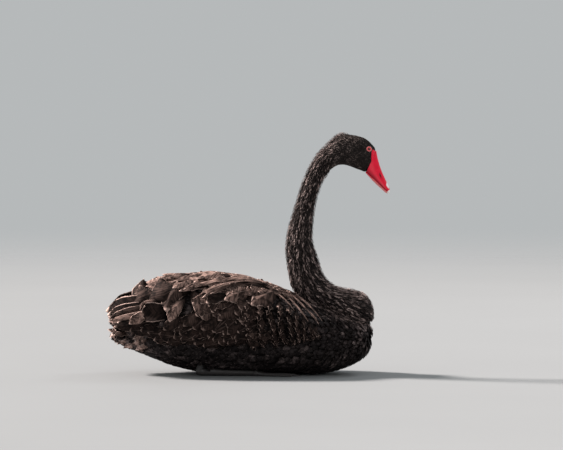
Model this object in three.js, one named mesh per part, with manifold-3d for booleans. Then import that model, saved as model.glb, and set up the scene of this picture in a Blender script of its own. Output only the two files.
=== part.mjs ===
// A life-size model of a black swan, resting on its belly with its feet tucked under.
// Millimetres. +X is the way that the bird faces, +Z is up, and y = 0 is the bird's middle plane.
// The origin is on the floor, at the middle of the flat that the belly rests on.
import * as THREE from "three";
import { mergeVertices } from "three/addons/utils/BufferGeometryUtils.js";
import Module from "manifold-3d";

const wasm = await Module();
wasm.setup();

// Driving sizes

// The gap that two touching sub-parts keep.
const GAP = 0.3;

// The torso in stations from the rump to the breast: x, half width, top, bottom.
const TORSO = [
  [-260, 0, 70, 70],
  [-252, 26, 90, 58],
  [-226, 44, 111, 46],
  [-184, 62, 136, 29],
  [-126, 86, 160, 8],
  [-48, 104, 176, -3],
  [40, 110, 165, -4],
  [108, 101, 142, -3],
  [166, 82, 116, 5],
  [208, 59, 102, 22],
  [230, 40, 96, 40],
  [240, 0, 72, 72],
];
const TORSO_WIDEST = 0.46; // height of the widest level, as a share of the section
const TORSO_SQUARENESS = 2.3;

// The neck and head, from the lobe on the breast to the root of the bill, as lines across them in
// side view: x and z at the back or crown, x and z at the throat, half width.
const NECK = [
  [236, 103, 238.5, 112, 6],
  [224, 93, 234, 134, 26],
  [206, 94, 222, 151, 34],
  [184, 101, 204, 159, 37],
  [158, 115, 184, 162, 38],
  [126, 129, 163, 168, 38.5],
  [96, 144, 146, 184, 37],
  [81, 172, 137.5, 202, 33],
  [75, 206, 131, 226, 28.5],
  [71.4, 232, 124, 246, 25],
  [73, 258, 122.4, 262, 23],
  [77.7, 282, 123.3, 280, 21.5],
  [87.4, 315, 126.3, 309, 18.8],
  [97.9, 348.5, 132.5, 338, 17],
  [109.6, 381, 140.5, 361, 17],
  [126.5, 411.4, 150.3, 377.3, 18],
  [143.6, 430, 160, 389.5, 19.3],
  [160.6, 445.4, 170, 395.8, 21],
  [174, 456.2, 180, 397.4, 22.3],
  [188, 455.6, 192, 394.8, 23],
  [207.1, 453, 206, 389.2, 22.8],
  [222, 448.3, 216, 385.3, 21.2],
  [235, 438, 222.5, 382.8, 18.4],
  [243.6, 422.9, 225.4, 383.6, 15.4],
];
const NECK_ROUNDNESS = 2.15;
// Where the neck is parted, as places in the list above.
const NECK_CUTS = [9, 12.6, 16];

// The folded wings as one outer form over the tips of their feathers, from the shoulder to the rear:
// x, half width, top, level of the widest place, lower edge.
const WING = [
  [172, 62, 102, 84, 92],
  [150, 86, 122, 88, 84],
  [110, 106, 144, 88, 74],
  [60, 117, 165, 88, 66],
  [0, 122, 184, 88, 62],
  [-60, 122, 193, 90, 62],
  [-120, 116, 190, 92, 66],
  [-160, 106, 186, 94, 72],
  [-195, 92, 172, 97, 80],
  [-225, 76, 150, 100, 86],
  [-250, 58, 134, 102, 92],
  [-275, 40, 122, 104, 96],
];
const WING_DEPTH = 60; // from the widest level down to where the form would close
const WING_SQUARENESS = 2.3;
const WING_FRONT_X = 168;
const WING_CORE_REAR_X = -236;
const WING_CORE_SINK = 6.5; // how deep the wings' core lies under their outer form
const WING_THICKNESS = 24;
const WING_REAR_THICKNESS = 7;
const WING_THINNING = [0.65, 1]; // where the core thins, as shares of its length

// Feathers
const ROOT_SINK = 9.5; // how deep a feather is rooted under the outer form
const ROOT_SHARE = 0.12; // how much of its length turns down into the root
const REST_SINK = 5; // how deep it lies where it leaves the root
const VANE_THICKNESS = 1;
const TIP_THICKNESS = 0.6;
const CHANCE = {
  place: 2,
  down: 1.5,
  turn: 3,
  length: 0.06,
  width: 0.05,
  rise: 0.3,
  tilt: 1,
};
const RUFFLED_CHANCE = { turn: 3, rise: 1, tilt: 2 };

// Rows of feathers on each folded wing: how many, x and share of the way down at the first and last
// root, their turn down in degrees there, length and width, and tilt about the length. A row runs
// rearward, and the way down goes from the back's middle to the lower edge.
const WING_ROWS = [
  // Scapulars over the back
  { count: 5, x: [88, -112], down: [0.06, 0.06], turn: [4, 2], size: [84, 38], tilt: 7 },
  { count: 5, x: [108, -112], down: [0.2, 0.25], turn: [16, 8], size: [80, 42], tilt: 7 },
  // Coverts down the side, the large ones first
  { count: 5, x: [136, -44], down: [0.34, 0.38], turn: [46, 36], size: [50, 46], tilt: -2 },
  { count: 5, x: [136, -52], down: [0.47, 0.51], turn: [50, 42], size: [45, 45], tilt: -2 },
  { count: 5, x: [130, -66], down: [0.6, 0.64], turn: [50, 42], size: [43, 44], tilt: -2 },
  { count: 4, x: [114, -76], down: [0.74, 0.79], turn: [42, 34], size: [44, 50], tilt: -2 },
  { count: 4, x: [98, -92], down: [0.87, 0.9], turn: [28, 20], size: [52, 44], tilt: -2 },
  // Flight feathers, and the coverts under them at the rear
  { count: 2, x: [-146, -156], down: [0.56, 0.76], turn: [2, 0], size: [104, 36], tilt: 7 },
  { count: 3, x: [-120, -186], down: [0.93, 0.92], turn: [2, 0], size: [62, 30], tilt: -2 },
];
const FRONT_CROWDING = 1.25; // above 1, feathers stand closer towards the front
const FULL_SECTION = 200; // feathers are full size where a section of the wing is this long
const SMALLEST_SHARE = 0.62;
const LONG_FEATHER = 90; // from this length on, a feather is bent in one more place

// The ruffled feathers, each set by hand: x and share of the way down of its root, turn down, length,
// width, how far it is lifted off the form, rise of its tip above that, tilt about its length in
// degrees, and how much its edges curl up.
const RUFFLED = [
  // Curled coverts
  { x: -28, down: 0.5, turn: 14, length: 52, width: 30, lift: 0, rise: 9, tilt: -16, cup: 5 },
  { x: -104, down: 0.4, turn: 104, length: 72, width: 30, lift: 6, rise: 3, tilt: 6, cup: -4 },
  { x: -99, down: 0.48, turn: 40, length: 69, width: 46, lift: 3, rise: 8, tilt: -12, cup: -6 },
  { x: -148, down: 0.72, turn: -3, length: 56, width: 40, lift: 2, rise: 8, tilt: 0, cup: 8 },
  // Feathers that stand up in peaks
  { x: -166, down: 0.2, turn: 100, length: 76, width: 56, lift: 10, rise: 2, tilt: 0, cup: -9 },
  { x: -201, down: 0.26, turn: 84, length: 46, width: 46, lift: 9, rise: 0, tilt: 0, cup: -8 },
  { x: -186, down: 0.06, turn: 24, length: 48, width: 38, lift: 6, rise: 0, tilt: 0, cup: -6 },
  // Inner flight feathers that round off the rear
  { x: -182, down: 0.32, turn: 11, length: 80, width: 42, lift: 2, rise: 4, tilt: -4, cup: -4 },
  { x: -176, down: 0.48, turn: 8, length: 90, width: 34, lift: 2, rise: 5, tilt: 2, cup: -3 },
  { x: -168, down: 0.6, turn: 8, length: 95, width: 30, lift: 3, rise: 5, tilt: 8, cup: -3 },
];

// The tail, as a short fan of rounded feathers on the rump
const TAIL_ROOT_X = -196;
const TAIL_CORE_REAR_X = -234;
const TAIL_CORE_HALF = [24, 32];
const TAIL_Z = 91;
const TAIL_DROP = 0.1; // fall of the tail for each millimetre rearward
const TAIL_BOW = 0.006; // how it falls off to both sides
const TAIL_THICKNESS = 9;
const TAIL_THINNING = 0.55; // share of its thickness that the core loses towards the rear
const TAIL_TILT = 10;
// Tail feathers, and shorter coverts over them: x and half spread of the roots and of the tips.
const TAIL_FANS = [
  { count: 7, root: [-218, 22], tip: [-268, 38], width: 22, sink: 1, rise: 0 },
  { count: 4, root: [-206, 12], tip: [-254, 22], width: 22, sink: 0, rise: 6 },
];
const TAIL_ROUNDING = 16; // how much further forward the outermost tips lie
// The space kept clear for the tail: x, half width, height over and depth under its surface.
const TAIL_ROOM = [
  [TAIL_ROOT_X + GAP, TAIL_CORE_HALF[0] + GAP, 5, 6],
  [-206, 30, 6.5, 7],
  [-226, 46, 9, 8],
  [-250, 56, 12, 8],
  [-290, 66, 14, 8],
];

// The eyes
const EYE_X = 229.6;
const EYE_Z = 428;
const EYE_RADIUS = 7;
const EYE_SHOWN_RADIUS = 4.6;
const LID_THICKNESS = 1.3;
const LID_OVERLAP = 0.6; // how far outside the shown part of the eye the lid's middle line runs
const LID_SINK = 0.4;

// The bill in side view, from its root to its tip: ridge x, z, mouth line x, z,
// half width of the upper half.
const BILL = [
  [244, 422.7, 225.8, 383.4, 15.4],
  [246.6, 409, 234.5, 375.6, 14.6],
  [251.6, 392, 244.2, 366.4, 13.4],
  [257.2, 378, 252.4, 358.6, 12.8],
  [262.6, 366.4, 259.2, 352, 12.8],
  [266.8, 357.8, 264.2, 347.8, 11.6],
  [269, 351.4, 267.2, 345.4, 8.2],
  [268.8, 346.4, 268, 344.4, 3],
];
const BILL_ROUNDNESS = 1.75;
const BILL_START = 0.02; // first place along the rows above, a gap in front of the head
const LOWER_BILL_DEPTH = 6;
const LOWER_BILL_THINNING = 0.45; // share of its depth that it loses towards its tip
const LOWER_BILL_SHORTER = 0.9; // how far short of the last row it stops
const LOWER_BILL_INSET = 1.4; // narrower than the upper half on each side
const NOSTRIL_PLACE = 0.46; // along the bill, as a share of its length
const NOSTRIL_HEIGHT = 0.5;
const NOSTRIL_SIDE = 0.86; // share of the bill's half width where its middle lies
const NOSTRIL = [5.2, 1.7, 2.4]; // half length, half height, depth

// The legs and feet, tucked under the belly
const LEG_Y = 58;
// The lower thigh out of the belly down to the heel, and the shank from there forward along the
// floor: x, y, z, half thickness across and up.
const THIGH = [
  [-58, -LEG_Y + 8, 46, 13, 13],
  [-80, -LEG_Y + 3, 27, 10.5, 10.5],
  [-90, -LEG_Y, 12, 8.5, 8.5],
];
const SHANK = [
  [-98, -LEG_Y, 9.5, 5, 5.5],
  [-90, -LEG_Y, 9.2, 8.5, 8.5],
  [-74, -LEG_Y, 8.5, 7, 7.5],
  [-40, -LEG_Y, 7, 5.5, 6],
  [0, -LEG_Y, 6.5, 5.5, 6],
  [18, -LEG_Y, 6.5, 7, 6.5],
];
const TOE_ROOT_X = 18;
const TOE_LENGTH = 84;
// Thickness of a toe and its claw from the root to the tip, as shares.
const TOE_OUTLINE = [
  [0, 1.25],
  [0.3, 1],
  [0.62, 0.95],
  [0.84, 0.75],
  [0.9, 0.42],
  [1, 0.14],
];
const TOE_HEIGHT = 0.8; // of its middle line, as a share of its half thickness
const TOES = [
  { turn: -14, length: TOE_LENGTH * 0.86, thick: 3.6 },
  { turn: 4, length: TOE_LENGTH, thick: 3.8 },
  { turn: 22, length: TOE_LENGTH * 0.84, thick: 3.6 },
];
const HIND_TOE = { turn: 172, length: 20, thick: 2.6, lift: 2 };
const WEB_SHARE = 0.83; // how far along the toes the web reaches
const WEB_DENT = 0.14;
const WEB_THICKNESS = 1.8;
// The hub in front of the shank, and the hollow for a foot in the belly over it, as rows like the
// leg's.
const HUB = [
  [TOE_ROOT_X - 8, -LEG_Y, 5, 8, 5],
  [TOE_ROOT_X + 4, -LEG_Y, 4.6, 7, 5],
  [TOE_ROOT_X + 14, -LEG_Y, 3.5, 6, 4],
];
const FOOT_HOLLOW = [
  [TOE_ROOT_X - 26, -LEG_Y, 0, 13, 12],
  [TOE_ROOT_X + 20, -LEG_Y, 0, 19, 10],
  [TOE_ROOT_X + 52, -LEG_Y - 2, 0, 32, 8],
  [TOE_ROOT_X + 90, -LEG_Y - 4, 0, 42, 6],
];

// Helpers

// Rows of numbers whose first column rises or falls; a smooth row at any place between, straight beyond.
function between(rows, at) {
  const rising = rows[rows.length - 1][0] > rows[0][0] ? 1 : -1;
  let i = 0;
  while (i < rows.length - 2 && rising * rows[i + 1][0] < rising * at) i++;
  const [a, b] = [rows[i], rows[i + 1]];
  const before = rows[Math.max(i - 1, 0)];
  const after = rows[Math.min(i + 2, rows.length - 1)];
  const span = b[0] - a[0];
  const u = (at - a[0]) / span;
  const v = THREE.MathUtils.clamp(u, 0, 1);
  return a.map((from, k) => {
    const to = b[k];
    const slopeIn = ((to - before[k]) / (b[0] - before[0])) * span;
    const slopeOut = ((after[k] - from) / (after[0] - a[0])) * span;
    const smooth =
      from * (2 * v ** 3 - 3 * v ** 2 + 1) +
      slopeIn * (v ** 3 - 2 * v ** 2 + v) +
      to * (3 * v ** 2 - 2 * v ** 3) +
      slopeOut * (v ** 3 - v ** 2);
    return smooth + (u - v) * (u > 1 ? slopeOut : slopeIn);
  });
}

const numbered = (rows) => rows.map((row, i) => [i, ...row]);

// Cosine and sine with a power, so that a circle turns into a fuller or a leaner closed curve.
const rounded = (value, roundness) =>
  Math.sign(value) * Math.abs(value) ** (2 / roundness);

// A closed surface through closed rings of points, with a fan at each end.
function loft(rings) {
  const n = rings[0].length;
  const points = rings.flat();
  const middle = (ring) =>
    ring.reduce((sum, p) => sum.add(p), new THREE.Vector3()).divideScalar(n);
  const first = points.push(middle(rings[0])) - 1;
  const last = points.push(middle(rings[rings.length - 1])) - 1;
  const index = [];
  for (let i = 0; i + 1 < rings.length; i++)
    for (let j = 0; j < n; j++) {
      const [a, b] = [i * n + j, i * n + ((j + 1) % n)];
      index.push(a, b, b + n, a, b + n, a + n);
    }
  const end = (rings.length - 1) * n;
  for (let j = 0; j < n; j++) {
    const k = (j + 1) % n;
    index.push(first, k, j, last, end + j, end + k);
  }
  return closed(points, index);
}

// An indexed geometry whose faces point out.
function closed(points, index) {
  const made = new THREE.BufferGeometry()
    .setFromPoints(points)
    .setIndex(index);
  const geometry = mergeVertices(made, 1e-3);
  const order = geometry.index.array;
  const at = geometry.getAttribute("position");
  const [a, b, c] = [0, 1, 2].map(() => new THREE.Vector3());
  let volume = 0;
  for (let i = 0; i < order.length; i += 3) {
    a.fromBufferAttribute(at, order[i]);
    b.fromBufferAttribute(at, order[i + 1]);
    c.fromBufferAttribute(at, order[i + 2]);
    volume += a.dot(b.cross(c));
  }
  const kept = [];
  for (let i = 0; i < order.length; i += 3) {
    const [p, q, r] = order.slice(i, i + 3);
    if (p !== q && q !== r && p !== r)
      kept.push(p, volume > 0 ? q : r, volume > 0 ? r : q);
  }
  return geometry.setIndex(kept);
}

// The same closed surface, pushed out along its normals.
function grown(geometry, by) {
  const bigger = geometry.clone();
  bigger.computeVertexNormals();
  const at = bigger.getAttribute("position");
  const normal = bigger.getAttribute("normal");
  for (let i = 0; i < at.count; i++)
    at.setXYZ(
      i,
      at.getX(i) + normal.getX(i) * by,
      at.getY(i) + normal.getY(i) * by,
      at.getZ(i) + normal.getZ(i) * by,
    );
  return bigger.deleteAttribute("normal");
}

function solid(geometry) {
  const plain = geometry.clone().deleteAttribute("normal").deleteAttribute("uv");
  const merged = mergeVertices(plain, 1e-3);
  return new wasm.Manifold(
    new wasm.Mesh({
      numProp: 3,
      vertProperties: merged.getAttribute("position").array,
      triVerts: new Uint32Array(merged.index.array),
    }),
  );
}

const union = (solids) => solids.reduce((all, one) => all.add(one));

// The largest closed surface of a solid, without sealed hollows and loose scraps.
const largest = (made) =>
  made.decompose().sort((a, b) => b.volume() - a.volume())[0];
const whole = (made) => largest(solid(geometryOf(largest(made))));

function geometryOf(made) {
  const { numProp, vertProperties, triVerts } = made.getMesh();
  const points = [];
  for (let i = 0; i < vertProperties.length; i += numProp)
    points.push(new THREE.Vector3(...vertProperties.slice(i, i + 3)));
  return new THREE.BufferGeometry()
    .setFromPoints(points)
    .setIndex(Array.from(triVerts));
}

function box(low, high) {
  const size = new THREE.Vector3().subVectors(high, low);
  const middle = new THREE.Vector3().addVectors(low, high).divideScalar(2);
  return solid(
    new THREE.BoxGeometry(size.x, size.y, size.z).translate(...middle),
  );
}

const LONG = 1000;
const underFloor = box(
  new THREE.Vector3(-LONG, -LONG, -LONG),
  new THREE.Vector3(LONG, LONG, 0),
);

// Torso

function torsoRing(place, around) {
  const [, x, half, top, bottom] = between(numbered(TORSO), place);
  const widest = bottom + TORSO_WIDEST * (top - bottom);
  return Array.from({ length: around }, (_, i) => {
    const angle = (2 * Math.PI * i) / around;
    const up = rounded(Math.sin(angle), TORSO_SQUARENESS);
    return new THREE.Vector3(
      x,
      half * rounded(Math.cos(angle), TORSO_SQUARENESS),
      widest + up * (up > 0 ? top - widest : widest - bottom),
    );
  });
}

function torsoForm(steps, around) {
  const last = TORSO.length - 1;
  return loft(
    Array.from({ length: steps + 1 }, (_, i) =>
      torsoRing((last * i) / steps, around),
    ),
  );
}

// Neck and head

function neckRing(place, around) {
  const [, backX, backZ, throatX, throatZ, width] = between(numbered(NECK), place);
  const back = new THREE.Vector3(backX, 0, backZ);
  const throat = new THREE.Vector3(throatX, 0, throatZ);
  return Array.from({ length: around }, (_, i) => {
    const angle = (2 * Math.PI * i) / around;
    const share = 0.5 + 0.5 * rounded(Math.sin(angle), NECK_ROUNDNESS);
    const point = throat.clone().lerp(back, share);
    point.y = width * rounded(Math.cos(angle), NECK_ROUNDNESS);
    return point;
  });
}

// The stretch from one place to another, short of each by half of the gap where it is parted there.
function neckForm(from, to, steps, around) {
  const last = NECK.length - 1;
  const short = (place, way) => {
    if (place <= 0 || place >= last) return place;
    const apart = (i) => neckRing(place, 4)[i].distanceTo(neckRing(place + 0.1, 4)[i]);
    return place + (way * 0.1 * GAP) / 2 / Math.min(apart(1), apart(3));
  };
  const [start, stop] = [short(from, 1), short(to, -1)];
  return loft(
    Array.from({ length: steps + 1 }, (_, i) =>
      neckRing(start + ((stop - start) * i) / steps, around),
    ),
  );
}

// Half width of the head at a point of its middle plane.
function headHalfWidth(x, z) {
  let best = { off: Infinity, y: 0 };
  for (let place = NECK_CUTS[2]; place <= NECK.length - 1; place += 0.02)
    for (const p of neckRing(place, 96)) {
      const off = Math.hypot(p.x - x, p.z - z);
      if (p.y > 0 && off < best.off) best = { off, y: p.y };
    }
  return best.y;
}

const eyeSurfaceY = headHalfWidth(EYE_X, EYE_Z);
const eyeSink = Math.sqrt(EYE_RADIUS ** 2 - EYE_SHOWN_RADIUS ** 2);
const eyeY = eyeSurfaceY - eyeSink;

function ball(radius, x, y, z, round = 12, high = 8) {
  return solid(
    new THREE.SphereGeometry(radius, round, high)
      .rotateX(Math.PI / 2)
      .translate(x, y, z),
  );
}

function headSolid() {
  let made = solid(neckForm(NECK_CUTS[2], NECK.length - 1, 13, 18));
  for (const side of [-1, 1]) {
    const ring = EYE_SHOWN_RADIUS + LID_OVERLAP;
    const lid = new THREE.TorusGeometry(ring, LID_THICKNESS, 5, 12)
      .rotateX(Math.PI / 2)
      .translate(EYE_X, side * (eyeSurfaceY - LID_SINK), EYE_Z);
    made = made.add(solid(lid));
    made = made.subtract(ball(EYE_RADIUS + GAP, EYE_X, side * eyeY, EYE_Z));
  }
  return whole(made);
}

// Bill

// Points in the plane across the bill at a row, from the distance to the side and the height over
// the mouth line.
function acrossBill([, ridgeX, ridgeZ, mouthX, mouthZ]) {
  const up = new THREE.Vector2(ridgeX - mouthX, ridgeZ - mouthZ);
  const height = up.length();
  up.normalize();
  const point = (side, high) =>
    new THREE.Vector3(mouthX + up.x * high, side, mouthZ + up.y * high);
  return { height, point };
}

const BILL_ARCH = 14;
const LOWER_BILL_ARCH = 10;

// A loft of half rings from the bill's start to a place along its rows.
function billForm(steps, stop, arch, half, high) {
  return loft(
    Array.from({ length: steps + 1 }, (_, i) => {
      const share = i / steps;
      const row = between(numbered(BILL), THREE.MathUtils.lerp(BILL_START, stop, share));
      const { height, point } = acrossBill(row);
      return Array.from({ length: arch + 1 }, (_, j) => {
        const angle = (Math.PI * j) / arch;
        return point(half(row, angle), high(height, angle, share));
      });
    }),
  );
}

function upperBill() {
  const last = BILL.length - 1;
  const form = billForm(
    11,
    last,
    BILL_ARCH,
    (row, angle) => row[5] * rounded(Math.cos(angle), BILL_ROUNDNESS),
    (height, angle) =>
      THREE.MathUtils.lerp(GAP / 2, height, rounded(Math.sin(angle), BILL_ROUNDNESS)),
  );
  let made = solid(form);
  const row = between(numbered(BILL), NOSTRIL_PLACE * last);
  const ahead = between(numbered(BILL), NOSTRIL_PLACE * last + 0.5);
  const { height, point } = acrossBill(row);
  const slope = Math.atan2(ahead[4] - row[4], ahead[3] - row[3]);
  for (const way of [-1, 1]) {
    const middle = point(way * row[5] * NOSTRIL_SIDE, height * NOSTRIL_HEIGHT);
    const hole = new THREE.SphereGeometry(1, 10, 6)
      .scale(NOSTRIL[0], NOSTRIL[2], NOSTRIL[1])
      .rotateY(-slope)
      .translate(...middle);
    made = made.subtract(solid(hole));
  }
  return whole(made);
}

function lowerBill() {
  const form = billForm(
    10,
    BILL.length - 1 - LOWER_BILL_SHORTER,
    LOWER_BILL_ARCH,
    (row, angle) => (row[5] - LOWER_BILL_INSET) * Math.cos(angle),
    (height, angle, share) => {
      const depth = LOWER_BILL_DEPTH * (1 - LOWER_BILL_THINNING * share ** 2);
      return -GAP / 2 - depth * Math.sin(angle);
    },
  );
  return solid(form);
}

// Feathers

// A plate between two grids of points, split into triangles alike on both faces.
function plate(top, bottom) {
  const rows = top.length;
  const columns = top[0].length;
  const under = rows * columns;
  const at = (i, j) => i * columns + j;
  const index = [];
  for (let i = 0; i + 1 < rows; i++)
    for (let j = 0; j + 1 < columns; j++) {
      const [a, b, c, d] = [at(i, j), at(i, j + 1), at(i + 1, j + 1), at(i + 1, j)];
      index.push(a, b, c, a, c, d);
      index.push(under + a, under + c, under + b, under + a, under + d, under + c);
    }
  const rim = [];
  for (let j = 0; j < columns; j++) rim.push(at(0, j));
  for (let i = 1; i < rows; i++) rim.push(at(i, columns - 1));
  for (let j = columns - 2; j >= 0; j--) rim.push(at(rows - 1, j));
  for (let i = rows - 2; i > 0; i--) rim.push(at(i, 0));
  rim.forEach((a, k) => {
    const b = rim[(k + 1) % rim.length];
    index.push(b, a, under + a, b, under + a, under + b);
  });
  return solid(closed([...top.flat(), ...bottom.flat()], index));
}

// Direction across a grid of points at one of them.
function gridNormal(grid, i, j) {
  const row = (k) => grid[THREE.MathUtils.clamp(k, 0, grid.length - 1)];
  const cell = (k) => grid[i][THREE.MathUtils.clamp(k, 0, grid[i].length - 1)];
  const along = row(i + 1)[j].clone().sub(row(i - 1)[j]);
  const across = cell(j + 1).clone().sub(cell(j - 1));
  return along.cross(across).normalize();
}

// Half width of a vane, as a share of its widest place, from the root to the tip.
const VANE_OUTLINE = [
  [0, 0.3],
  [0.12, 0.56],
  [0.35, 0.9],
  [0.62, 1],
  [0.85, 0.9],
  [1, 0.5],
];
const VANE_END_ROUNDING = 0.13;

// One feather's vane on a surface that gives a point from x, the distance down from the middle line,
// and the height over it. With a hinge of 1 it is tilted about its lower edge, and with 0 about its
// shaft. Gather gives how much closer to the middle line its shaft runs at an x than at its root.
function vane(surface, feather) {
  const { x, down, turn, length, width, rise, tilt } = feather;
  const { sink = ROOT_SINK, lift = 0, hinge = 0, cup = 0, steps = 4 } = feather;
  const { gather = () => 1 } = feather;
  const angle = THREE.MathUtils.degToRad(turn);
  const grid = [];
  for (let i = 0; i <= steps; i++) {
    const u = i ? THREE.MathUtils.lerp(ROOT_SHARE, 1, (i - 1) / (steps - 1)) : 0;
    const deep = i ? REST_SINK * ((1 - u) / (1 - ROOT_SHARE)) - lift : sink;
    const half = (width / 2) * between(VANE_OUTLINE, u)[1];
    const lean = THREE.MathUtils.degToRad(tilt) * Math.min(1, 2 * u);
    grid.push(
      [-1, 0, 1].map((side) => {
        const along = length * (u - VANE_END_ROUNDING * u ** 3 * side ** 2);
        const across = side * half * Math.cos(lean);
        const over = half * (side * Math.sin(lean) + hinge * Math.abs(Math.sin(lean)));
        const high = rise * u ** 1.5 - deep + over;
        const shaftX = x - along * Math.cos(angle);
        return surface(
          shaftX + across * Math.sin(angle),
          down * gather(shaftX) + along * Math.sin(angle) + across * Math.cos(angle),
          high + cup * side ** 2 * u,
        );
      }),
    );
  }
  const shifted = (way) =>
    grid.map((row, i) =>
      row.map((point, j) => {
        const thick = THREE.MathUtils.lerp(VANE_THICKNESS, TIP_THICKNESS, i / steps);
        return point.clone().addScaledVector(gridNormal(grid, i, j), (way * thick) / 2);
      }),
    );
  return plate(shifted(1), shifted(-1));
}

// A repeatable chance number between -1 and 1.
function chance(seed) {
  let state = seed;
  return () => {
    state = (state + 0x6d2b79f5) | 0;
    let t = Math.imul(state ^ (state >>> 15), 1 | state);
    t = (t + Math.imul(t ^ (t >>> 7), 61 | t)) ^ t;
    return ((t ^ (t >>> 14)) >>> 0) / 2 ** 31 - 1;
  };
}

// Wings

const SECTION_STEPS = 32;

// The right wing's section at x, sunk by an amount: its points from the back's middle down to the
// lower edge, each with its distance along the section.
function wingSection(x, sink) {
  const [, half, top, widest, low] = between(WING, x);
  const drop = THREE.MathUtils.clamp((widest - low) / WING_DEPTH, -1, 1);
  const end = -Math.sign(drop) * Math.asin(Math.abs(drop) ** (WING_SQUARENESS / 2));
  const points = [];
  let length = 0;
  for (let i = 0; i <= SECTION_STEPS; i++) {
    const angle = THREE.MathUtils.lerp(Math.PI / 2, end, i / SECTION_STEPS);
    const up = rounded(Math.sin(angle), WING_SQUARENESS);
    const high = up > 0 ? top - widest : WING_DEPTH;
    const point = new THREE.Vector3(
      x,
      -Math.max(half - sink, 1) * rounded(Math.cos(angle), WING_SQUARENESS),
      widest + up * Math.max(high - sink, 1),
    );
    if (i) length += point.distanceTo(points[i - 1].point);
    points.push({ point, length });
  }
  return points;
}

// The point of a section at a distance down from the middle line, straight on beyond both ends.
function alongSection(section, down) {
  let i = 1;
  while (i < section.length - 1 && section[i].length < down) i++;
  const [a, b] = [section[i - 1], section[i]];
  const share = (down - a.length) / (b.length - a.length);
  return a.point.clone().lerp(b.point, share);
}

function wingSurface(x, down, lift) {
  const at = (dx, dDown) => alongSection(wingSection(x + dx, 0), down + dDown);
  const rearward = at(-2, 0).sub(at(2, 0));
  const downward = at(0, 2).sub(at(0, -2));
  const out = rearward.cross(downward).normalize();
  return at(0, 0).addScaledVector(out, lift);
}

function wingCore() {
  const steps = 9;
  const across = 7;
  const outer = [];
  const inner = [];
  for (let i = 0; i <= steps; i++) {
    const x = THREE.MathUtils.lerp(WING_FRONT_X, WING_CORE_REAR_X, i / steps);
    const thin = THREE.MathUtils.smoothstep(i / steps, ...WING_THINNING);
    const thick = THREE.MathUtils.lerp(WING_THICKNESS, WING_REAR_THICKNESS, thin);
    const arc = (sink) => {
      const section = wingSection(x, sink);
      const length = section[section.length - 1].length;
      return Array.from({ length: across + 1 }, (_, j) =>
        alongSection(section, (length * j) / across),
      );
    };
    outer.push(arc(WING_CORE_SINK));
    inner.push(arc(WING_CORE_SINK + thick));
  }
  return plate(outer, inner);
}

// The distance down a section at a share of its way.
function wayDown(x, share) {
  const section = wingSection(x, 0);
  return share * section[section.length - 1].length;
}

// How the feathers rooted at an x draw together where the sections shorten towards the rear.
const gatheredFrom = (rootX) => {
  const full = wayDown(rootX, 1);
  return (x) => Math.min(1, wayDown(x, 1) / full);
};

// The feathers of one folded wing, in rows that overlap like shingles and a ruffled patch.
function wingVanes(seed) {
  const draw = chance(seed);
  const vanes = [];
  for (const { count, x, down, turn, size, tilt } of WING_ROWS)
    for (let i = 0; i < count; i++) {
      const share = (i / (count - 1)) ** FRONT_CROWDING;
      const mix = ([from, to]) => THREE.MathUtils.lerp(from, to, share);
      const full = wayDown(mix(x), 1) / FULL_SECTION;
      const scale = THREE.MathUtils.clamp(full, SMALLEST_SHARE, 1);
      vanes.push(
        vane(wingSurface, {
          x: mix(x) + CHANCE.place * draw(),
          down: wayDown(mix(x), mix(down)) + CHANCE.down * draw(),
          turn: mix(turn) + CHANCE.turn * draw(),
          length: size[0] * scale * (1 + CHANCE.length * draw()),
          width: size[1] * scale * (1 + CHANCE.width * draw()),
          rise: CHANCE.rise * draw(),
          tilt: tilt + CHANCE.tilt * draw(),
          steps: size[0] > LONG_FEATHER ? 4 : 3,
          gather: gatheredFrom(mix(x)),
        }),
      );
    }
  for (const feather of RUFFLED)
    vanes.push(
      vane(wingSurface, {
        ...feather,
        down: wayDown(feather.x, feather.down),
        turn: feather.turn + RUFFLED_CHANCE.turn * draw(),
        rise: feather.rise + RUFFLED_CHANCE.rise * draw(),
        tilt: feather.tilt + RUFFLED_CHANCE.tilt * draw(),
        hinge: 1,
        steps: 4,
        gather: gatheredFrom(feather.x),
      }),
    );
  return vanes;
}

// Tail

function tailSurface(x, side, lift) {
  const fall = TAIL_DROP * (TAIL_ROOT_X - x) + TAIL_BOW * side ** 2;
  return new THREE.Vector3(x, side, TAIL_Z - fall + lift);
}

function tailCore() {
  const steps = 4;
  const across = 6;
  const face = (way) =>
    Array.from({ length: steps + 1 }, (_, i) => {
      const u = i / steps;
      const half = THREE.MathUtils.lerp(...TAIL_CORE_HALF, u);
      const thick = TAIL_THICKNESS * (1 - TAIL_THINNING * u);
      return Array.from({ length: across + 1 }, (_, j) => {
        const side = (2 * j) / across - 1;
        const edge = 1 - 0.6 * side ** 4;
        const x = THREE.MathUtils.lerp(TAIL_ROOT_X, TAIL_CORE_REAR_X, u) + 10 * u * side ** 2;
        return tailSurface(x, side * half, (way * thick * edge) / 2);
      });
    });
  return plate(face(1), face(-1));
}

// Fans of feathers, each rooted in a line across the rump, the middle one on top.
function tailVanes() {
  const draw = chance(31);
  return TAIL_FANS.flatMap(({ count, root, tip, width, sink, rise }) =>
    Array.from({ length: count }, (_, i) => {
      const side = (2 * i) / (count - 1) - 1;
      const from = new THREE.Vector2(root[0], side * root[1]);
      const to = new THREE.Vector2(tip[0] + TAIL_ROUNDING * side ** 2, side * tip[1]);
      const way = to.sub(from);
      return vane(tailSurface, {
        x: from.x,
        down: from.y,
        turn: THREE.MathUtils.radToDeg(Math.atan2(way.y, -way.x)) + 1.5 * draw(),
        length: way.length() * (1 + 0.03 * draw()),
        width,
        rise: side ? rise : rise + 1.8,
        tilt: Math.sign(side) * TAIL_TILT,
        sink: side ? sink : sink - 0.8,
        steps: 3,
      });
    }),
  );
}

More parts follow.
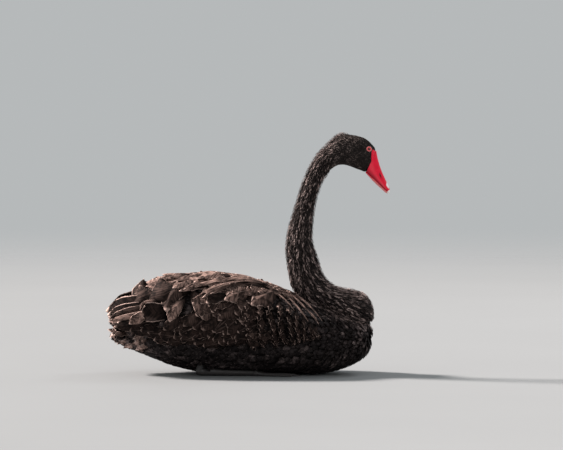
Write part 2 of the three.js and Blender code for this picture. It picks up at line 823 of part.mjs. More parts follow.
// The space that the tail and its feathers take.
function tailRoom() {
  const across = 8;
  const face = (way) =>
    TAIL_ROOM.map(([x, half, over, under]) =>
      Array.from({ length: across + 1 }, (_, j) => {
        const side = (2 * j) / across - 1;
        const edge = 1 - 0.4 * side ** 4;
        return tailSurface(x, side * half, edge * (way > 0 ? over : -under));
      }),
    );
  return plate(face(1), face(-1));
}

// Legs and feet

// A limb through rows of x, y, z, half across, half up.
function limb(rows, steps, around) {
  const list = numbered(rows);
  const last = rows.length - 1;
  const rings = Array.from({ length: steps + 1 }, (_, i) => {
    const place = (last * i) / steps;
    const [, x, y, z, across, up] = between(list, place);
    const a = between(list, Math.max(place - 0.1, 0));
    const b = between(list, Math.min(place + 0.1, last));
    const along = new THREE.Vector3(b[1] - a[1], b[2] - a[2], b[3] - a[3]);
    along.normalize();
    const side = new THREE.Vector3(0, 0, 1).cross(along).normalize();
    const over = along.clone().cross(side);
    return Array.from({ length: around }, (_, j) => {
      const angle = (2 * Math.PI * j) / around;
      return new THREE.Vector3(x, y, z)
        .addScaledVector(side, across * Math.cos(angle))
        .addScaledVector(over, up * Math.sin(angle));
    });
  });
  return loft(rings);
}

const legForms = [limb(THIGH, 4, 10), limb(SHANK, 8, 10)];

// A toe with its claw, along the floor and lifted by an amount at its root.
function toe({ x, y, turn, length, thick, lift = 0 }) {
  const angle = THREE.MathUtils.degToRad(turn);
  const rows = TOE_OUTLINE.map(([share, size]) => [
    x + Math.cos(angle) * length * share,
    y - Math.sin(angle) * length * share,
    thick * size * TOE_HEIGHT + lift * (1 - share),
    thick * size,
    thick * size,
  ]);
  return solid(limb(rows, TOE_OUTLINE.length - 1, 6));
}

// The right foot: a hub in front of the shank, forward toes joined by a web, and the small hind toe.
function footForm() {
  const root = new THREE.Vector2(TOE_ROOT_X, -LEG_Y);
  const toes = TOES.map((one) => toe({ ...one, x: root.x, y: root.y }));
  const hind = toe({ ...HIND_TOE, x: root.x - 2, y: root.y + 7 });
  const tips = TOES.map(({ turn, length }) => {
    const angle = THREE.MathUtils.degToRad(turn);
    return new THREE.Vector2(Math.cos(angle), -Math.sin(angle))
      .multiplyScalar(length * WEB_SHARE)
      .add(root);
  });
  const web = new THREE.Shape();
  web.moveTo(root.x, root.y);
  web.lineTo(tips[0].x, tips[0].y);
  tips.slice(1).forEach((tip, i) => {
    const dent = tips[i].clone().lerp(tip, 0.5).lerp(root, WEB_DENT);
    web.quadraticCurveTo(dent.x, dent.y, tip.x, tip.y);
  });
  web.closePath();
  const skin = new THREE.ExtrudeGeometry(web, {
    depth: WEB_THICKNESS,
    bevelEnabled: false,
    curveSegments: 3,
  });
  return union([...toes, hind, solid(limb(HUB, 4, 10)), solid(skin)]);
}

// Mirrors a solid made for the bird's right side, at negative y, to its left side.
const onLeft = (made) => made.mirror([0, 1, 0]);

// Nodes

const colours = {
  plumage: [0x1a1513, 0.75],
  wing: [0x241c19, 0.7],
  bill: [0xb3122a, 0.35],
  eye: [0x7a1410, 0.15],
  leg: [0x1d1b1b, 0.6],
};

const swan = new THREE.Group();

function node(name, made, colour) {
  const [color, roughness] = colours[colour];
  const mesh = new THREE.Mesh(
    geometryOf(made),
    new THREE.MeshStandardMaterial({ color, roughness, metalness: 0 }),
  );
  mesh.name = name;
  swan.add(mesh);
}

const torsoShape = torsoForm(18, 22);
const torsoRoom = solid(grown(torsoShape, GAP));
const lowerNeck = neckForm(0, NECK_CUTS[0], 13, 16);
const lowerNeckRoom = solid(grown(lowerNeck, GAP));
const roomForTail = tailRoom();

const rightLeg = union(legForms.map(solid)).subtract(underFloor);
const rightLegRoom = union(legForms.map((form) => solid(grown(form, GAP))));
const rightFoot = footForm().subtract(underFloor).subtract(rightLegRoom);
const rightHollow = rightLegRoom.add(solid(limb(FOOT_HOLLOW, 4, 12)));

const torso = solid(torsoShape)
  .subtract(underFloor)
  .subtract(roomForTail)
  .subtract(rightHollow)
  .subtract(onLeft(rightHollow));
node("torso", whole(torso), "plumage");

node("neck_lower", whole(solid(lowerNeck).subtract(torsoRoom)), "plumage");
node("neck_middle", solid(neckForm(NECK_CUTS[0], NECK_CUTS[1], 7, 16)), "plumage");
node("neck_upper", solid(neckForm(NECK_CUTS[1], NECK_CUTS[2], 7, 16)), "plumage");
node("head", headSolid(), "plumage");
node("bill_upper", upperBill(), "bill");
node("bill_lower", lowerBill(), "bill");

const otherSide = box(
  new THREE.Vector3(-LONG, -GAP / 2, -LONG),
  new THREE.Vector3(LONG, LONG, LONG),
);

// A folded wing for the right side.
function wing(seed) {
  const feathered = union([wingCore(), ...wingVanes(seed)]);
  const cut = [otherSide, torsoRoom, lowerNeckRoom, roomForTail];
  return whole(cut.reduce((made, room) => made.subtract(room), feathered));
}

node("wing_right", wing(7), "wing");
node("wing_left", onLeft(wing(11)), "wing");
node("tail", whole(union([tailCore(), ...tailVanes()])), "wing");

node("leg_right", whole(rightLeg), "leg");
node("leg_left", onLeft(whole(rightLeg)), "leg");
node("foot_right", whole(rightFoot), "leg");
node("foot_left", onLeft(whole(rightFoot)), "leg");

node("eye_right", ball(EYE_RADIUS, EYE_X, -eyeY, EYE_Z), "eye");
node("eye_left", ball(EYE_RADIUS, EYE_X, eyeY, EYE_Z), "eye");

export default swan;
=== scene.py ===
# The looks of a life-size black swan: skin, feathers, bill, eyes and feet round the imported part.
# Metres, in the part's own frame: +X is the way that the bird faces, +Z is up.
import math

import bpy
import numpy as np
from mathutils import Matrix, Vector, kdtree
from mathutils.bvhtree import BVHTree


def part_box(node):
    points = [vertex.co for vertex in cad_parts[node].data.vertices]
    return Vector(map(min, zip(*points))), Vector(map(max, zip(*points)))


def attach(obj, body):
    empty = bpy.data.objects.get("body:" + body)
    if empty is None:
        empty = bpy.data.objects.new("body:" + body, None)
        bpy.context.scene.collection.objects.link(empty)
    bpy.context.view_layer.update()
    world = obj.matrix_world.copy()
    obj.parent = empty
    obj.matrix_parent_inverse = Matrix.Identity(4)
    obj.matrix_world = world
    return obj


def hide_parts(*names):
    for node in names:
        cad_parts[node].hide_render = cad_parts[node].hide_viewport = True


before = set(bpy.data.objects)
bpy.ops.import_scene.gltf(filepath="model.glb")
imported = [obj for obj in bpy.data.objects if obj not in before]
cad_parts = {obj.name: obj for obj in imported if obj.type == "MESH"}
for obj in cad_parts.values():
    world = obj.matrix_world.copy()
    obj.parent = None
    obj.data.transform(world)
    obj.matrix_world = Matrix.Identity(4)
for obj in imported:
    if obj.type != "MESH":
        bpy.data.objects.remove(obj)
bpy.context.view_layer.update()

MM = 0.001
SIDEWAYS = np.array([0, 1, 0])

# The camera, at the photograph's angle

IMAGE_PIXELS = (563, 450)
PIXEL = 1.9 * MM
ORIGIN_PIXEL = (248, 374)  # where the part's origin lies in the photograph
CAMERA_DISTANCE = 8.0
CAMERA_ELEVATION = math.radians(2.5)
SENSOR = 36.0
FAR_CLIP = 40


def make_camera():
    data = bpy.data.cameras.new("camera")
    camera = bpy.data.objects.new("camera", data)
    bpy.context.scene.collection.objects.link(camera)
    right = (IMAGE_PIXELS[0] / 2 - ORIGIN_PIXEL[0]) * PIXEL
    above = (ORIGIN_PIXEL[1] - IMAGE_PIXELS[1] / 2) * PIXEL
    aim = Vector((right, 0, above))
    back = Vector((0, -math.cos(CAMERA_ELEVATION), math.sin(CAMERA_ELEVATION)))
    camera.location = aim + back * CAMERA_DISTANCE
    camera.rotation_euler = back.to_track_quat("Z", "Y").to_euler()
    data.sensor_width = SENSOR
    data.lens = SENSOR * CAMERA_DISTANCE / (IMAGE_PIXELS[0] * PIXEL)
    data.clip_end = FAR_CLIP
    bpy.context.scene.camera = camera


make_camera()

# Helpers


def smoothstep(low, high, value):
    t = np.clip((value - low) / (high - low), 0, 1)
    return t * t * (3 - 2 * t)


def unit(vectors):
    length = np.linalg.norm(vectors, axis=-1, keepdims=True)
    return vectors / np.maximum(length, 1e-12)


def between(rows, at):
    """A smooth row of numbers at places along rows, by their first column, straight on beyond."""
    rows = np.asarray(rows, float)
    if rows[0, 0] > rows[-1, 0]:
        rows = rows[::-1]
    at = np.atleast_1d(np.asarray(at, float))
    i = np.clip(np.searchsorted(rows[:, 0], at) - 1, 0, len(rows) - 2)
    a = rows[i]
    b = rows[i + 1]
    before = rows[np.maximum(i - 1, 0)]
    after = rows[np.minimum(i + 2, len(rows) - 1)]
    span = (b[:, :1] - a[:, :1])
    slope_in = (b - before) / (b[:, :1] - before[:, :1]) * span
    slope_out = (after - a) / (after[:, :1] - a[:, :1]) * span
    u = (at[:, None] - a[:, :1]) / span
    v = np.clip(u, 0, 1)
    smooth = (
        a * (2 * v**3 - 3 * v**2 + 1)
        + slope_in * (v**3 - 2 * v**2 + v)
        + b * (3 * v**2 - 2 * v**3)
        + slope_out * (v**3 - v**2)
    )
    return smooth + (u - v) * np.where(u > 1, slope_out, slope_in)


def along(pair, share):
    return pair[0] + (pair[1] - pair[0]) * share


def raised(pair, share):
    """A base in millimetres and what a share adds to it, in metres."""
    return (pair[0] + pair[1] * share) * MM


def rounded(value, roundness):
    return np.sign(value) * np.abs(value) ** (2 / roundness)


def add_mesh(name, points, faces, material=None, smooth=True):
    """An object from an array of points and an array of faces with equal numbers of corners."""
    mesh = bpy.data.meshes.new(name)
    mesh.vertices.add(len(points))
    mesh.vertices.foreach_set("co", np.asarray(points, np.float32).ravel())
    mesh.loops.add(faces.size)
    mesh.loops.foreach_set("vertex_index", faces.astype(np.int32).ravel())
    mesh.polygons.add(len(faces))
    starts = np.arange(0, faces.size, faces.shape[1], dtype=np.int32)
    mesh.polygons.foreach_set("loop_start", starts)
    mesh.update(calc_edges=True)
    mesh.polygons.foreach_set("use_smooth", np.full(len(faces), smooth))
    obj = bpy.data.objects.new(name, mesh)
    bpy.context.scene.collection.objects.link(obj)
    if material:
        mesh.materials.append(material)
    return obj


def add_uv(mesh, name, corner_uv):
    layer = mesh.uv_layers.new(name=name)
    layer.uv.foreach_set("vector", np.asarray(corner_uv, np.float32).ravel())


def add_value(mesh, name, values):
    layer = mesh.attributes.new(name, "FLOAT", "POINT")
    layer.data.foreach_set("value", np.asarray(values, np.float32))


def grid_faces(rows, columns, around=False, ring=False):
    """Quads over a grid of points, closed round its columns and on to its first row if asked."""
    lengths = np.arange(rows if ring else rows - 1), np.arange(columns if around else columns - 1)
    i, j = np.meshgrid(*lengths, indexing="ij")
    here = i * columns
    on = (i + 1) % rows * columns
    k = (j + 1) % columns
    return np.stack([here + j, here + k, on + k, on + j], -1).reshape(-1, 4)


def ball(rows, columns, radius):
    """Grid of points round a ball with its poles on Y, and its outward quads."""
    polar = np.linspace(0, np.pi, rows)[:, None]
    angle = np.linspace(0, 2 * np.pi, columns, endpoint=False)
    across = np.sin(polar)
    level = np.cos(polar) * np.ones(columns)
    points = np.stack([across * np.cos(angle), level, across * np.sin(angle)], -1)
    return points * radius, grid_faces(rows, columns, around=True)[:, ::-1]


def mesh_arrays(obj):
    mesh = obj.data
    points = np.empty(len(mesh.vertices) * 3, np.float32)
    mesh.vertices.foreach_get("co", points)
    mesh.calc_loop_triangles()
    triangles = np.empty(len(mesh.loop_triangles) * 3, np.int32)
    mesh.loop_triangles.foreach_get("vertices", triangles)
    return points.reshape(-1, 3).astype(float), triangles.reshape(-1, 3)


def vertex_normals(obj):
    mesh = obj.data
    normals = np.empty(len(mesh.vertices) * 3, np.float32)
    mesh.vertices.foreach_get("normal", normals)
    return normals.reshape(-1, 3).astype(float)


def pick(objects):
    """Selects objects, the first of them active."""
    bpy.ops.object.select_all(action="DESELECT")
    for obj in objects:
        obj.select_set(True)
    bpy.context.view_layer.objects.active = objects[0]


def dress(obj, material):
    """Gives a smooth mesh one material alone."""
    obj.data.materials.clear()
    obj.data.materials.append(material)
    obj.data.polygons.foreach_set("use_smooth", np.full(len(obj.data.polygons), True))


def own(obj, slot, *nodes):
    """Says what a piece rides on and the nodes that it replaces; its slot is not used."""
    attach(obj, "root")
    if nodes:
        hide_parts(*nodes)


# Materials

MIX_INPUTS = (6, 7)  # the sockets for colours of Blender's Mix node
MIX_OUTPUT = 2


class Nodes:
    """Short calls for the nodes of one procedural material."""

    def __init__(self, name):
        self.material = bpy.data.materials.new(name)
        self.material.use_nodes = True
        self.tree = self.material.node_tree
        self.shader = self.tree.nodes["Principled BSDF"]

    def link(self, source, target):
        self.tree.links.new(source, target)

    def put(self, socket, value):
        if isinstance(value, bpy.types.NodeSocket):
            self.link(value, socket)
        elif socket.type == "RGBA":
            socket.default_value = (*value, 1)
        else:
            socket.default_value = value

    def new(self, kind, **settings):
        node = self.tree.nodes.new("ShaderNode" + kind)
        for key, value in settings.items():
            setattr(node, key, value)
        return node

    def math(self, operation, a, b=0.0):
        node = self.new("Math", operation=operation)
        self.put(node.inputs[0], a)
        self.put(node.inputs[1], b)
        return node.outputs[0]

    def product(self, *values):
        total = values[0]
        for value in values[1:]:
            total = self.math("MULTIPLY", total, value)
        return total

    def ramp(self, value, low, high, to_low=0.0, to_high=1.0):
        node = self.new("MapRange", interpolation_type="SMOOTHSTEP")
        for socket, given in zip(node.inputs, (value, low, high, to_low, to_high)):
            self.put(socket, given)
        return node.outputs[0]

    def mix(self, share, a, b):
        """From one colour to another by a share."""
        node = self.new("Mix", data_type="RGBA")
        self.put(node.inputs["Factor"], share)
        self.put(node.inputs[MIX_INPUTS[0]], a)
        self.put(node.inputs[MIX_INPUTS[1]], b)
        return node.outputs[MIX_OUTPUT]

    def noise(self, vector, scale, detail=3.0):
        node = self.new("TexNoise")
        self.link(vector, node.inputs["Vector"])
        node.inputs["Scale"].default_value = scale
        node.inputs["Detail"].default_value = detail
        return node.outputs["Fac"]

    def vector(self, operation, *values):
        node = self.new("VectorMath", operation=operation)
        for socket, value in zip(node.inputs, values):
            self.put(socket, value)
        return node.outputs["Value" if operation in ("LENGTH", "DISTANCE") else "Vector"]

    def bump(self, height, strength, distance):
        node = self.new("Bump")
        node.inputs["Strength"].default_value = strength
        node.inputs["Distance"].default_value = distance
        self.link(height, node.inputs["Height"])
        self.link(node.outputs["Normal"], self.shader.inputs["Normal"])

    def place(self):
        return self.new("TexCoord").outputs["Object"]

    def combine(self, *values):
        node = self.new("CombineXYZ")
        for socket, value in zip(node.inputs, values):
            self.put(socket, value)
        return node.outputs[0]

    def value(self, name):
        return self.new("Attribute", attribute_name=name).outputs["Fac"]

    def uv(self, name):
        """The two numbers of a UV map."""
        node = self.new("UVMap", uv_map=name)
        parts = self.new("SeparateXYZ")
        self.link(node.outputs["UV"], parts.inputs[0])
        return parts.outputs[0], parts.outputs[1]

    def finish(self, color, roughness, **sockets):
        self.put(self.shader.inputs["Base Color"], color)
        self.put(self.shader.inputs["Roughness"], roughness)
        for key, value in sockets.items():
            self.put(self.shader.inputs[key.replace("_", " ")], value)
        return self.material


BLACK = (0.0035, 0.0027, 0.0026)
TONE_RANGE = (0.25, 1.0)  # tones from the lit colour, the feather's dark base, to the warm one, which is partly painted light
BARB_SLANT = -0.55
STREAK_ACROSS = 1.1
STREAK_SHIFT = 37.0  # sets the streaks of feathers apart, by their tone
PATCH_SCALE = 75.0
WEAR_SCALE = 260.0
# What darkens a vane: its value where that starts and where it is full, and how dark it gets.
DARK_STREAK = (0.6, 0.4, 0.75)
DARK_PATCH = (0.54, 0.36, 0.75)
# At the root the darkening is painted shade, where the feather above overlaps it.
ROOT_SHADE = (0.5, 0.05, 0.9)
RIM_SHADE_BAND = (4, 0.45)  # painted shade just inside the rim: its reach in widths of the rim, and how dark it gets
# The pale rim is partly the feather's own edge and partly painted highlight.
TIP_RIM = 0.7  # width of the rim at the tip, as a share
RIM_START = (0.15, 0.5)
RIM_WEAR = (0.3, 0.65, 0.45, 1.0)
QUILL_TAPER = (1.0, 0.4, 0.1, 0.7)
QUILL_EDGE = 0.3
STREAK_BUMP = (0.75, 1.1 * MM)


def feather_material(name, lit, warm, rim, barbs, rim_width, roughness, quill=0.03, contrast=1.0):
    """Barbed vane: streaks along its barbs, painted shade at the root and inside the rim, a pale worn
    rim that is partly its own edge and partly painted highlight, a pale quill, and paler by its tone,
    which carries painted light.
    """
    n = Nodes(name)

    def darkened(color, value, start, full, most):
        return n.mix(n.ramp(value, start, full, 0.0, most), color, BLACK)

    across, along = n.uv("Feather")
    place = n.place()
    tone = n.value("tone")
    side = n.math("ABSOLUTE", n.math("SUBTRACT", across, 0.5))
    edge = n.product(side, 2.0)
    barb = n.product(n.math("ADD", along, n.product(side, BARB_SLANT)), barbs)
    strand = n.combine(barb, n.product(edge, STREAK_ACROSS), across)
    shift = n.product(tone, STREAK_SHIFT)
    streaks = n.noise(n.vector("ADD", strand, n.combine(shift, shift, shift)), 1.0)
    # Tone mixes the dark base, named lit, with the warm colour of tops lit from above: partly each
    # feather's own tone, partly painted light.
    color = n.mix(n.math("POWER", n.ramp(tone, *TONE_RANGE), contrast), lit, warm)
    color = darkened(color, streaks, *DARK_STREAK)
    color = darkened(color, n.noise(place, PATCH_SCALE, 2.0), *DARK_PATCH)
    # Painted shade at the root, under the feather above.
    color = darkened(color, along, *ROOT_SHADE)
    # Painted shade in a band just inside the rim, under its highlight.
    reach, most = RIM_SHADE_BAND
    color = darkened(color, edge, 1 - reach * rim_width, 1 - rim_width, most)
    # The pale rim: partly the feather's own pale edge, partly painted highlight, broken by wear and set
    # for each feather by its rim value.
    near_edge = n.ramp(edge, 1 - rim_width, 1.0)
    near_tip = n.ramp(along, 1 - TIP_RIM * rim_width, 1.0)
    worn = n.ramp(n.noise(place, WEAR_SCALE), *RIM_WEAR)
    margin = n.math("MAXIMUM", near_edge, near_tip)
    margin = n.product(margin, n.ramp(along, *RIM_START), worn, n.value("rim"))
    color = n.mix(margin, color, rim)
    line = n.product(n.ramp(side, quill, quill * QUILL_EDGE), n.ramp(along, *QUILL_TAPER))
    color = n.mix(n.product(line, n.value("quill")), color, rim)
    n.bump(streaks, *STREAK_BUMP)
    return n.finish(color, roughness, Specular_IOR_Level=0.05)


# The warm colours are the pinkish brown of tops lit from above, reached by high tones: partly painted
# light.
wing_vane = feather_material(
    "wing_vane", lit=(0.031, 0.0195, 0.0165), warm=(0.46, 0.3, 0.252), rim=(0.84, 0.6, 0.52),
    barbs=25, rim_width=0.12, roughness=0.85, contrast=1.8,
)
# Painted light: under the rear the vanes and rims are far paler than the body's, standing in for light
# that the key lamp doesn't bring to this shaded side.
rump_painted_light_vane = feather_material(
    "rump_painted_light_vane", lit=(0.03, 0.021, 0.02), warm=(0.8, 0.54, 0.46), rim=(0.98, 0.75, 0.67),
    barbs=12, rim_width=0.3, roughness=0.5,
)
body_vane = feather_material(
    "body_vane", lit=(0.028, 0.0225, 0.0225), warm=(0.32, 0.245, 0.235), rim=(0.34, 0.26, 0.24),
    barbs=9, rim_width=0.16, roughness=0.55,
)
neck_vane = feather_material(
    "neck_vane", lit=(0.034, 0.027, 0.026), warm=(0.88, 0.66, 0.61), rim=(0.3, 0.23, 0.215),
    barbs=5, rim_width=0.25, roughness=0.5, quill=0.05, contrast=1.5,
)
head_vane = feather_material(
    "head_vane", lit=(0.095, 0.077, 0.07), warm=(0.62, 0.48, 0.44), rim=(0.15, 0.12, 0.11),
    barbs=4, rim_width=0.3, roughness=0.6, quill=0.02,
)


def skin_material():
    n = Nodes("skin")
    color = n.mix(n.noise(n.place(), 90.0), (0.006, 0.005, 0.005), (0.018, 0.014, 0.013))
    return n.finish(color, 0.85, Specular_IOR_Level=0.1)


bare_skin = skin_material()

# Body shape

# The folded wings as one outer form, from the shoulder to the rear, in millimetres: x, half width,
# top, level of the widest place, lower edge.
WING = [
    (172, 62, 102, 84, 92),
    (150, 86, 122, 88, 84),
    (110, 106, 144, 88, 74),
    (60, 117, 165, 88, 66),
    (0, 122, 184, 88, 62),
    (-60, 122, 193, 90, 62),
    (-120, 116, 190, 92, 66),
    (-160, 106, 186, 94, 72),
    (-195, 92, 172, 97, 80),
    (-225, 76, 150, 100, 86),
    (-250, 58, 134, 102, 92),
    (-275, 40, 122, 104, 96),
]
WING_DEPTH = 60
WING_SQUARENESS = 2.3
SECTION_STEPS = 40
WING_CORE_SINK = 9
SLOPE_STEP = 2  # to both sides of a place, to find the form's slope there
MANTLE_SHORT = (4, 18)  # how far the form under the feathers ends inside both ends
MANTLE_RINGS = 60
WING_EDGE = (-2, 6)  # height over the lower edge where the feathers begin and are full
WING_REACH = (0.78, 0.86)  # the same as a share of the wings' form
UNDER_WING = (-54, 222)  # middle and half length of the skin that the feathers of the wings cover


def wing_section(x, sink=0.0):
    """Right-hand points of the wings' form at each x, from the back's middle to the lower edge."""
    _, half, top, widest, low = between(WING, x).T
    drop = np.clip((widest - low) / WING_DEPTH, -1, 1)
    end = -np.sign(drop) * np.arcsin(np.abs(drop) ** (WING_SQUARENESS / 2))
    share = np.linspace(0, 1, SECTION_STEPS + 1)
    angle = np.pi / 2 + (end[:, None] - np.pi / 2) * share
    up = rounded(np.sin(angle), WING_SQUARENESS)
    high = np.where(up > 0, (top - widest)[:, None], WING_DEPTH) - sink
    y = -np.maximum(half - sink, 1)[:, None] * rounded(np.cos(angle), WING_SQUARENESS)
    z = widest[:, None] + up * np.maximum(high, 1)
    xs = np.broadcast_to(np.asarray(x, float).reshape(-1, 1), y.shape)
    return np.stack([xs, y, z], -1)


def section_lengths(section):
    steps = np.linalg.norm(np.diff(section, axis=1), axis=-1)
    return np.concatenate([np.zeros((len(section), 1)), np.cumsum(steps, 1)], 1)


def along_section(x, down):
    """Points of the wings' form, down from the back's middle, straight on beyond both ends."""
    section = wing_section(x)
    length = section_lengths(section)
    i = np.clip((length < down[:, None]).sum(1), 1, SECTION_STEPS)
    row = np.arange(len(section))
    a = section[row, i - 1]
    b = section[row, i]
    share = (down - length[row, i - 1]) / (length[row, i] - length[row, i - 1])
    return a + (b - a) * share[:, None]


def wing_point(x, down, lift):
    """Points and outward directions over the wings' form, in millimetres."""
    x, down, lift = (np.atleast_1d(np.asarray(v, float)) for v in (x, down, lift))
    step = SLOPE_STEP
    rearward = along_section(x - step, down) - along_section(x + step, down)
    downward = along_section(x, down + step) - along_section(x, down - step)
    out = unit(np.cross(rearward, downward))
    return along_section(x, down) + out * lift[:, None], out


def down_seen(x, height):
    """How far down the right wing's form the camera sees a height."""
    section = wing_section([x])[0]
    length = section_lengths(section[None])[0]
    seen = section[:, 2] + section[:, 1] * math.sin(CAMERA_ELEVATION)
    return np.interp(-height, -seen, length)


def way_down(x):
    """The length of the wings' section from the back's middle to the lower edge."""
    return section_lengths(wing_section([x]))[0, -1]


def mantle():
    """A closed form under both wings' feathers."""
    xs = np.linspace(WING[0][0] - MANTLE_SHORT[0], WING[-1][0] + MANTLE_SHORT[1], MANTLE_RINGS)
    right = wing_section(xs, WING_CORE_SINK)
    left = right[:, ::-1] * (1, -1, 1)
    rings = np.concatenate([left, right[:, 1:]], 1)
    rows, columns = rings.shape[:2]
    points = rings.reshape(-1, 3)
    middles = [rings[0].mean(0), rings[-1].mean(0)]
    points = np.concatenate([points, middles]) * MM
    quads = grid_faces(rows, columns, around=True)
    j = np.arange(columns)
    k = (j + 1) % columns
    last_row = (rows - 1) * columns
    middle = np.full(columns, rows * columns)
    first = np.stack([middle, k, j], -1)
    last = np.stack([middle + 1, last_row + j, last_row + k], -1)
    triangles = np.concatenate([quads[:, [0, 1, 2]], quads[:, [0, 2, 3]], first, last])
    return add_mesh("mantle", points, triangles)


# The neck's middle line from the bill to the lobe's front end, in millimetres: x, z, radius.
NECK_LINE = [
    (235, 403, 20),
    (221, 415, 25),
    (207, 421, 28),
    (186, 425, 28),
    (166, 420, 24),
    (146, 404, 20),
    (131, 380, 17),
    (119, 346, 17),
    (108, 312, 19),
    (101, 281, 22),
    (98, 258, 24),
    (98, 238, 25),
    (103, 216, 29),
    (112, 187, 37),
    (126, 165, 42),
    (148, 150, 38),
    (171, 139, 37),
    (194, 130, 36),
    (212, 122, 30),
    (226, 113, 22),
    (237, 107, 12),
]
EYE = np.array([229.6, 0.0, 428.0]) * MM
EYE_RADIUS = 7  # in millimetres
EYE_FILL_DEPTH = 1.2 * MM  # how far inside the eyes the skin closes behind them
EYE_FILL = 1.08  # its radius, as a share of the eye's
FILL_GRID = (16, 24)
FOREHEAD_GRID = (20, 24)
FOREHEAD = np.array([229.5, 0, 425]) * MM
FOREHEAD_SIZE = np.array([14, 9.5, 12]) * MM
VOXEL = 2.2 * MM
SMOOTH_ROUNDS = 14
LINE_POINTS = 400
PART = 20000  # points that are compared with the neck's line at a time


def numbered(rows):
    return np.array([(i, *row) for i, row in enumerate(rows)])


def neck_line():
    fine = between(numbered(NECK_LINE), np.linspace(0, len(NECK_LINE) - 1, LINE_POINTS))
    points = np.stack([fine[:, 1], np.zeros(LINE_POINTS), fine[:, 2]], -1) * MM
    return points, fine[:, 3] * MM


LINE, LINE_RADIUS = neck_line()
LINE_WAY = unit(np.gradient(LINE, axis=0))
LINE_LENGTH = np.concatenate([[0], np.cumsum(np.linalg.norm(np.diff(LINE, axis=0), axis=1))])


def neck_place(points):
    """Nearest place on the neck's line, and the distance as a share of the radius there."""
    best = np.empty(len(points), int)
    for start in range(0, len(points), PART):
        part = points[start : start + PART]
        off = np.linalg.norm(part[:, None] - LINE[None], axis=-1) / LINE_RADIUS
        best[start : start + PART] = off.argmin(1)
    share = np.linalg.norm(points - LINE[best], axis=1) / LINE_RADIUS[best]
    return best, share


def body_copy(name):
    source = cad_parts[name]
    copy = bpy.data.objects.new("copy_" + name, source.data.copy())
    bpy.context.scene.collection.objects.link(copy)
    return copy


def joined(name, objects):
    pick(objects)
    bpy.ops.object.join()
    objects[0].name = name
    return objects[0]


def remesh(obj, voxel, rounds):
    """Makes one closed soft surface of an object's parts."""
    step = obj.modifiers.new("remesh", "REMESH")
    step.mode = "VOXEL"
    step.voxel_size = voxel
    soften = obj.modifiers.new("smooth", "SMOOTH")
    soften.iterations = rounds
    soften.factor = 0.5
    depsgraph = bpy.context.evaluated_depsgraph_get()
    final = bpy.data.meshes.new_from_object(obj.evaluated_get(depsgraph))
    obj.modifiers.clear()
    obj.data = final


FLESH = ["torso", "neck_lower", "neck_middle", "neck_upper", "head"]
# How far the skin lies inside the flesh, in millimetres: at the head, then what the neck adds.
NECK_DEPTH = (0.7, 1.5)
NECK_DEEP = (60 * MM, 130 * MM)  # the run down the line over which it is added
BODY_DEPTH = 5 * MM
NECK_EDGE = (1.1, 1.5)  # where the neck ends, as shares of its radius
FLOOR_GAP = 0.2 * MM


def make_skin():
    """One skin round torso, neck and head, inside their solids by the depth of the coat."""
    parts = [body_copy(name) for name in FLESH]
    for name, side in (("eye_right", -1), ("eye_left", 1)):
        low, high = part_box(name)
        middle = np.array((low + high) / 2) - (0, side * EYE_FILL_DEPTH, 0)
        points, faces = ball(*FILL_GRID, EYE_RADIUS * MM * EYE_FILL)
        parts.append(add_mesh("fill_" + name, points.reshape(-1, 3) + middle, faces))
    points, faces = ball(*FOREHEAD_GRID, 1)
    parts.append(add_mesh("forehead", points.reshape(-1, 3) * FOREHEAD_SIZE + FOREHEAD, faces))
    parts.append(mantle())
    skin = joined("swan_skin", parts)
    skin.data.name = "swan_skin"
    remesh(skin, VOXEL, SMOOTH_ROUNDS)
    points, _ = mesh_arrays(skin)
    place, share = neck_place(points)
    on_neck = 1 - smoothstep(*NECK_EDGE, share)
    neck_depth = raised(NECK_DEPTH, smoothstep(*NECK_DEEP, LINE_LENGTH[place]))
    body_depth = BODY_DEPTH * (1 - inside_wing(points))
    depth = on_neck * neck_depth + (1 - on_neck) * body_depth
    points -= vertex_normals(skin) * depth[:, None]
    points[:, 2] = np.maximum(points[:, 2], FLOOR_GAP)
    skin.data.vertices.foreach_set("co", points.astype(np.float32).ravel())
    dress(skin, bare_skin)
    skin.data.update()
    return skin


def inside_wing(points):
    """1 where a point lies under the wings' feathers, falling to 0 at their edge."""
    x, y, z = (points / MM).T
    _, half, top, widest, low = between(WING, np.clip(x, WING[-1][0], WING[0][0])).T
    over = smoothstep(*WING_EDGE, z - low) * (np.abs(x - UNDER_WING[0]) < UNDER_WING[1])
    high = np.where(z > widest, (z - widest) / (top - widest), 0)
    reach = (np.abs(y) / half) ** WING_SQUARENESS + np.abs(high) ** WING_SQUARENESS
    return over * smoothstep(*WING_REACH, reach ** (1 / WING_SQUARENESS))


UNWRAP_ANGLE = math.radians(66)
UNWRAP_MARGIN = 0.002


def unwrap(obj):
    pick([obj])
    for layer in list(obj.data.uv_layers):
        obj.data.uv_layers.remove(layer)
    obj.data.uv_layers.new(name="OFBake")
    bpy.ops.object.mode_set(mode="EDIT")
    bpy.ops.mesh.select_all(action="SELECT")
    bpy.ops.uv.smart_project(angle_limit=UNWRAP_ANGLE, island_margin=UNWRAP_MARGIN)
    bpy.ops.object.mode_set(mode="OBJECT")


TRIES = 4.5  # points that are tried for each one's own square


